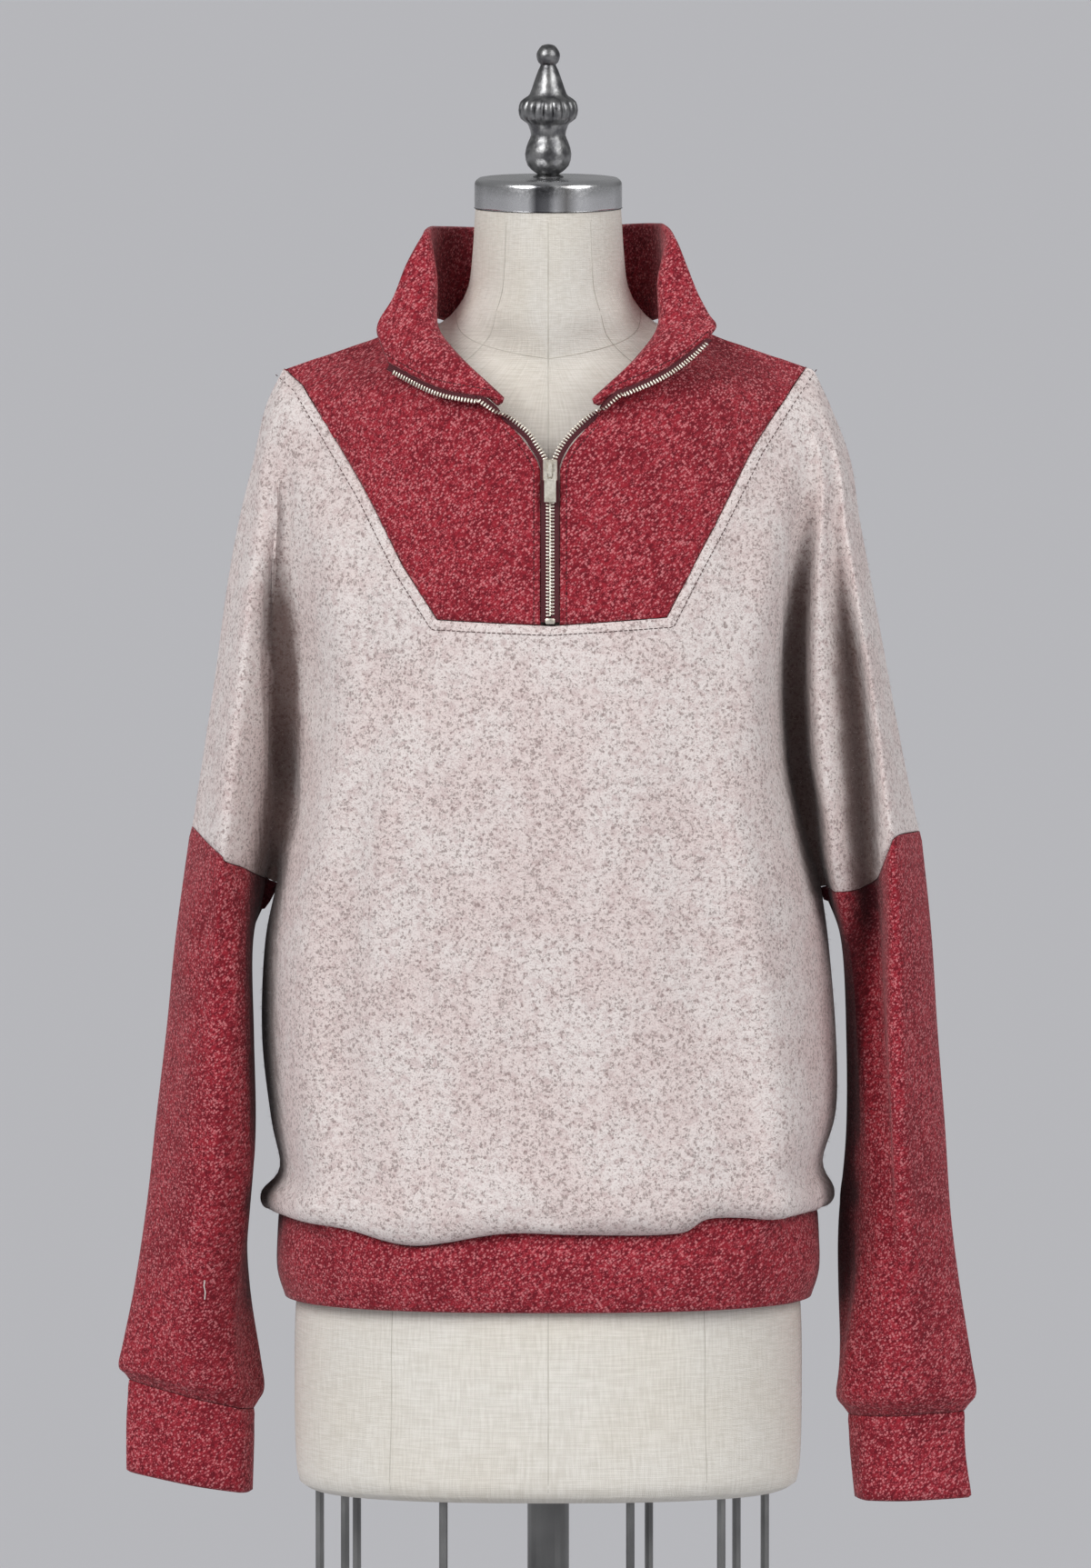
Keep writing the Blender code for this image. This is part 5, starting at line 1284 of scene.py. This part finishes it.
tape_cloth, tree, tape_shader = new_surface("woven_tape", Roughness=0.85)
tape_place = node(tree, "ShaderNodeTexCoord").outputs["Object"]
tape_rows = node(tree, "ShaderNodeTexWave", [("Vector", tape_place)], bands_direction="DIAGONAL", Scale=420.0,
                 Distortion=2.0)
tape_tone = ramp(tree, tape_rows.outputs["Fac"], (0.0, TAPE_DARK), (1.0, TAPE_LIGHT))
coat(tree, tape_shader, tape_tone, tape_rows.outputs["Fac"], 0.5, 0.0003)

zip_nickel = metal("zip_nickel", (0.93, 0.88, 0.78, 1), (0.72, 0.66, 0.56, 1), 0.42, 0.00002,
                   cloud=120.0, grain=900.0)
rows_of_teeth = []
for side, label in ((LEFT, "left"), (RIGHT, "right")):
    middle, away = tape_line(side)
    run = along_path(middle)
    away = unit(away - run * np.sum(run * away, axis=1, keepdims=True))
    out = np.cross(run, away)
    out = out * np.where(np.sum(out * (0, -1, 0.4), axis=1, keepdims=True) < 0, -1, 1)
    tape = bar_rings(middle, away, out, TAPE_WIDTH, TAPE_THICK, 0.25)
    piece = new_piece(f"tape_{label}", tape, closed_bar(tape), tape_cloth, "zip_tape")
    tidy_normals(piece)
    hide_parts(f"zip_tape_{label}")
    on_edge = middle + away * (TAPE_WIDTH / 2 - 0.55 * MM) + out * 0.35 * MM
    centres, along, outward = evenly(on_edge, TOOTH_PITCH, away, out)
    if side == RIGHT:
        centres = centres + along_path(centres) * TOOTH_PITCH / 2
    way = along_path(centres)
    keep = slice(2, len(centres) - 2)
    rows_of_teeth.append(many_bars(centres[keep], way[keep], unit(along[keep]), unit(outward[keep]),
                                   TOOTH, 0.72))
teeth = new_piece("zip_teeth", *joined(rows_of_teeth), zip_nickel, "zip_metal", crease=50)
tidy_normals(teeth)

stop_place, stop_out = front_places(np.array([[ZIP_X, (YOKE_BOTTOM_Z + 2.6) * MM]]))
shape, faces = many_bars(stop_place + stop_out * 0.2 * MM, np.array([[0.0, 0, 1]]),
                         np.array([[1.0, 0, 0]]), stop_out, STOP, 0.8)
stop = new_piece("zip_stop", shape, faces, zip_nickel, "zip_metal", crease=50)
tidy_normals(stop)

give_metal(("zip_slider", "zip_pull"), zip_nickel)


# ---------------------------------------------------------------------------------------------------
# Topstitching: a thin dark thread on the cream cloth outside the yoke's seams, which holds the seam
# allowance down, and a burgundy thread on the yoke along each side of the zip and up both faces of the collar
# beside its front ends.

STITCH = 2.6 * MM
STITCH_GAP = 0.7 * MM
THREAD = 0.55 * MM
YOKE_STITCH_OFF = 6.6 * MM
ZIP_STITCH_OFF = 4.6 * MM


def outline_offset(outline, distance):
    """A line of (x, z) places moved to its left by a distance, with mitred corners."""
    line = np.array(outline)
    step = unit(np.diff(line, axis=0))
    side_of_step = np.stack([-step[:, 1], step[:, 0]], axis=1)
    corner = unit(np.concatenate([side_of_step[:1], side_of_step[:-1] + side_of_step[1:], side_of_step[-1:]]))
    share = np.concatenate([[1], np.sum(corner[1:-1] * side_of_step[1:], axis=1), [1]])
    return line + corner * (distance / share)[:, None]


def stitched(line, lift=0.12 * MM):
    """Stitches along an (x, z) line on the front: bars laid on the cloth with a small gap between."""
    flat_line = np.concatenate([line[:, :1], np.zeros((len(line), 1)), line[:, 1:]], axis=1)
    even = evenly(flat_line, STITCH + STITCH_GAP)[0]
    centres, out = front_places(even[:, [0, 2]])
    run = along_path(centres)
    across = unit(np.cross(run, out))
    return many_bars(centres + out * lift, run, across, out, (THREAD, STITCH, THREAD), 0.5)


def thread_material(name, light, dark):
    return metal(name, light, dark, 0.7, 0.00005, cloud=900.0, grain=3000.0, metallic=0.0)


dark_thread = thread_material("umber_thread", (0.12, 0.06, 0.055, 1), (0.05, 0.025, 0.025, 1))
red_thread = thread_material("burgundy_thread", (0.10, 0.008, 0.014, 1), (0.035, 0.004, 0.006, 1))
left_line = yokes[LEFT][1:7] + [(0.0, YOKE_BOTTOM_Z * MM)]
right_line = yokes[RIGHT][1:7] + [(0.0, YOKE_BOTTOM_Z * MM)]
outside_yoke = [stitched(outline_offset(left_line, -YOKE_STITCH_OFF)),
                stitched(outline_offset(right_line, YOKE_STITCH_OFF))]
tidy_normals(new_piece("yoke_topstitching", *joined(outside_yoke), dark_thread, "cream_jersey", crease=80))
beside_zip = []
for side in (LEFT, RIGHT):
    edge = [(edges_of_zip[side], (YOKE_BOTTOM_Z + 1) * MM), (edges_of_zip[side], OPEN_EDGE[side][0][1] * MM)]
    edge += mirrored(OPEN_EDGE[side][1:-2], side)
    beside_zip.append(stitched(outline_offset(edge, -side * ZIP_STITCH_OFF)))
collar_out = collar_normals.reshape(collar_surface.shape)
for column in (3, -4):
    path, out = evenly(collar_surface[:, column], STITCH + STITCH_GAP, collar_out[:, column])
    run = along_path(path)
    for face in (-1, 1):
        lifted = path + out * face * (DOUBLE_WALL / 2 + 0.1 * MM)
        across = unit(np.cross(run, out))
        beside_zip.append(many_bars(lifted, run, across, out, (THREAD, STITCH, THREAD), 0.5))
tidy_normals(new_piece("zip_topstitching", *joined(beside_zip), red_thread, "red_jersey", crease=80))

loose_line = np.array([(-226.4, 942), (-226.9, 938), (-226.2, 934), (-226.6, 929)]) * MM
loose_path, loose_out = front_places(loose_line)
loose_path = spline(loose_path + loose_out * 0.3 * MM, (4,) * 3)
run = along_path(loose_path)
out = np.tile(loose_out.mean(axis=0), (len(run), 1))
thread = bar_rings(loose_path, unit(np.cross(run, out)), out, 0.7 * MM, 0.5 * MM)
pale_thread = thread_material("pale_thread", (0.80, 0.74, 0.70, 1), (0.66, 0.58, 0.55, 1))
tidy_normals(new_piece("loose_thread", thread, closed_bar(thread), pale_thread, "red_jersey"))


# ---------------------------------------------------------------------------------------------------
# The nap: loose wool ends that stand off the brushed cream cloth and lie mostly downwards. They are
# far fewer than real ones.

NAP_COUNT = 30000
NAP_LONG = (1.2 * MM, 2.8 * MM)
NAP_THICK = 0.16 * MM
NAP_ROOT = 0.5 * MM  # how deep an end starts in the cloth


def nap_fibres():
    """Thin three-sided cones from random places of the cream cloth: tip = root + length x a direction
    that mixes outward, down and a random lean; the three root corners turn about that direction."""
    pick = np.random.default_rng(11)
    cream = np.flatnonzero((owners == names.index("front_panel")) | (owners == names.index("back_panel")))
    size = values_of(skin.polygons, "area")
    chosen = pick.choice(cream, NAP_COUNT, p=size[cream] / size[cream].sum())
    out = values_of(skin.polygons, "normal", 3)[chosen]
    lean = unit(out * 0.75 + np.array([0, 0, -0.35]) + pick.normal(0, 0.45, (NAP_COUNT, 3)))
    lean = unit(lean + out * np.clip(0.25 - np.sum(lean * out, axis=1, keepdims=True), 0, None))
    aside = unit(np.cross(lean, pick.normal(0, 1, (NAP_COUNT, 3))))
    other = np.cross(lean, aside)
    jitter = np.cross(out, pick.normal(0, 1, (NAP_COUNT, 3))) * 1.2 * MM
    root = values_of(skin.polygons, "center", 3)[chosen] + jitter - out * NAP_ROOT
    tip = root + lean * (pick.uniform(*NAP_LONG, (NAP_COUNT, 1)) + NAP_ROOT)
    corners = [root + (aside * math.cos(turn) + other * math.sin(turn)) * NAP_THICK / 2
               for turn in (0, 2 * math.pi / 3, 4 * math.pi / 3)]
    cones = np.stack(corners + [tip], axis=1)
    faces = np.array([(0, 1, 3), (1, 2, 3), (2, 0, 3), (2, 1, 0)])
    return cones.reshape(-1, 3), (faces[None] + 4 * np.arange(NAP_COUNT)[:, None, None]).reshape(-1, 3)


wool_end = thread_material("wool_end", (0.80, 0.72, 0.70, 1), (0.55, 0.44, 0.42, 1))
new_piece("nap", *nap_fibres(), wool_end, "cream_jersey", crease=180)


# ---------------------------------------------------------------------------------------------------
# The camera stands far off, a little above the form's chest. The wide pale floor is the background.
# A broad soft light stands at each side, the left one stronger, in a pale room whose wall behind the
# camera is dark.

EYE_RISE = math.radians(5)
EYE_FAR = 16.0
SENSOR = 36.0
SEEN_HEIGHT = 1.035
SEEN_MIDDLE = (-0.0018, 1.266)  # x and z
FLOOR_RADIUS, FLOOR_CORNERS = 80.0, 64
FLOOR_GREY = (0.60, 0.60, 0.625, 1)
DARK_WALL = (0.16, 0.16, 0.165, 1)
PALE_ROOM = (0.97, 0.98, 1.0, 1)

floor_mesh = bpy.data.meshes.new("floor")
floor_turn = np.arange(FLOOR_CORNERS) / FLOOR_CORNERS * 2 * math.pi
floor_edge = np.stack([np.cos(floor_turn), np.sin(floor_turn), 0 * floor_turn], axis=1) * FLOOR_RADIUS
floor_mesh.from_pydata(floor_edge.tolist(), [], [list(range(FLOOR_CORNERS))])
floor = bpy.data.objects.new("floor", floor_mesh)
bpy.context.scene.collection.objects.link(floor)
floor_paint = new_surface("studio_floor", Base_Color=FLOOR_GREY, Roughness=0.9, Specular_IOR_Level=0.1)
floor_mesh.materials.append(floor_paint[0])

world = bpy.data.worlds.new("studio")
world.use_nodes = True
tree = world.node_tree
surround = tree.nodes["Background"]
way = node(tree, "ShaderNodeSeparateXYZ",
           [("Vector", node(tree, "ShaderNodeTexCoord").outputs["Generated"])])
beside_eye = node(tree, "ShaderNodeMath", [(0, way.outputs["X"])], operation="ABSOLUTE")
beside_wall = span(tree, beside_eye.outputs[0], 0.16, 0.34)
before_wall = span(tree, way.outputs["Y"], -0.85, -0.6)
off_wall = combined(tree, "MAXIMUM", beside_wall, before_wall)
wall_light = ramp(tree, off_wall, (0.0, DARK_WALL), (1.0, PALE_ROOM))
tree.links.new(wall_light, surround.inputs["Color"])
surround.inputs["Strength"].default_value = 0.26
bpy.context.scene.world = world


def soft_sun(name, toward, strength, spread):
    light = bpy.data.lights.new(name, "SUN")
    light.energy = strength
    light.angle = math.radians(spread)
    made = bpy.data.objects.new(name, light)
    made.rotation_euler = Vector(toward).to_track_quat("-Z", "Y").to_euler()
    bpy.context.scene.collection.objects.link(made)


soft_sun("key_light", (1.0, 1.15, -1.0), 1.95, 34)
soft_sun("fill_light", (-1.2, 1.0, -0.9), 1.3, 40)

camera = bpy.data.objects.new("camera", bpy.data.cameras.new("camera"))
camera.data.sensor_width = SENSOR
camera.data.lens = SENSOR * EYE_FAR / SEEN_HEIGHT
camera.data.clip_end = 300.0
camera.location = (SEEN_MIDDLE[0], -EYE_FAR * math.cos(EYE_RISE),
                   SEEN_MIDDLE[1] + EYE_FAR * math.sin(EYE_RISE))
camera.rotation_euler = (math.pi / 2 - EYE_RISE, 0, 0)
bpy.context.scene.collection.objects.link(camera)
bpy.context.scene.camera = camera
bpy.context.scene.view_settings.view_transform = "Standard"
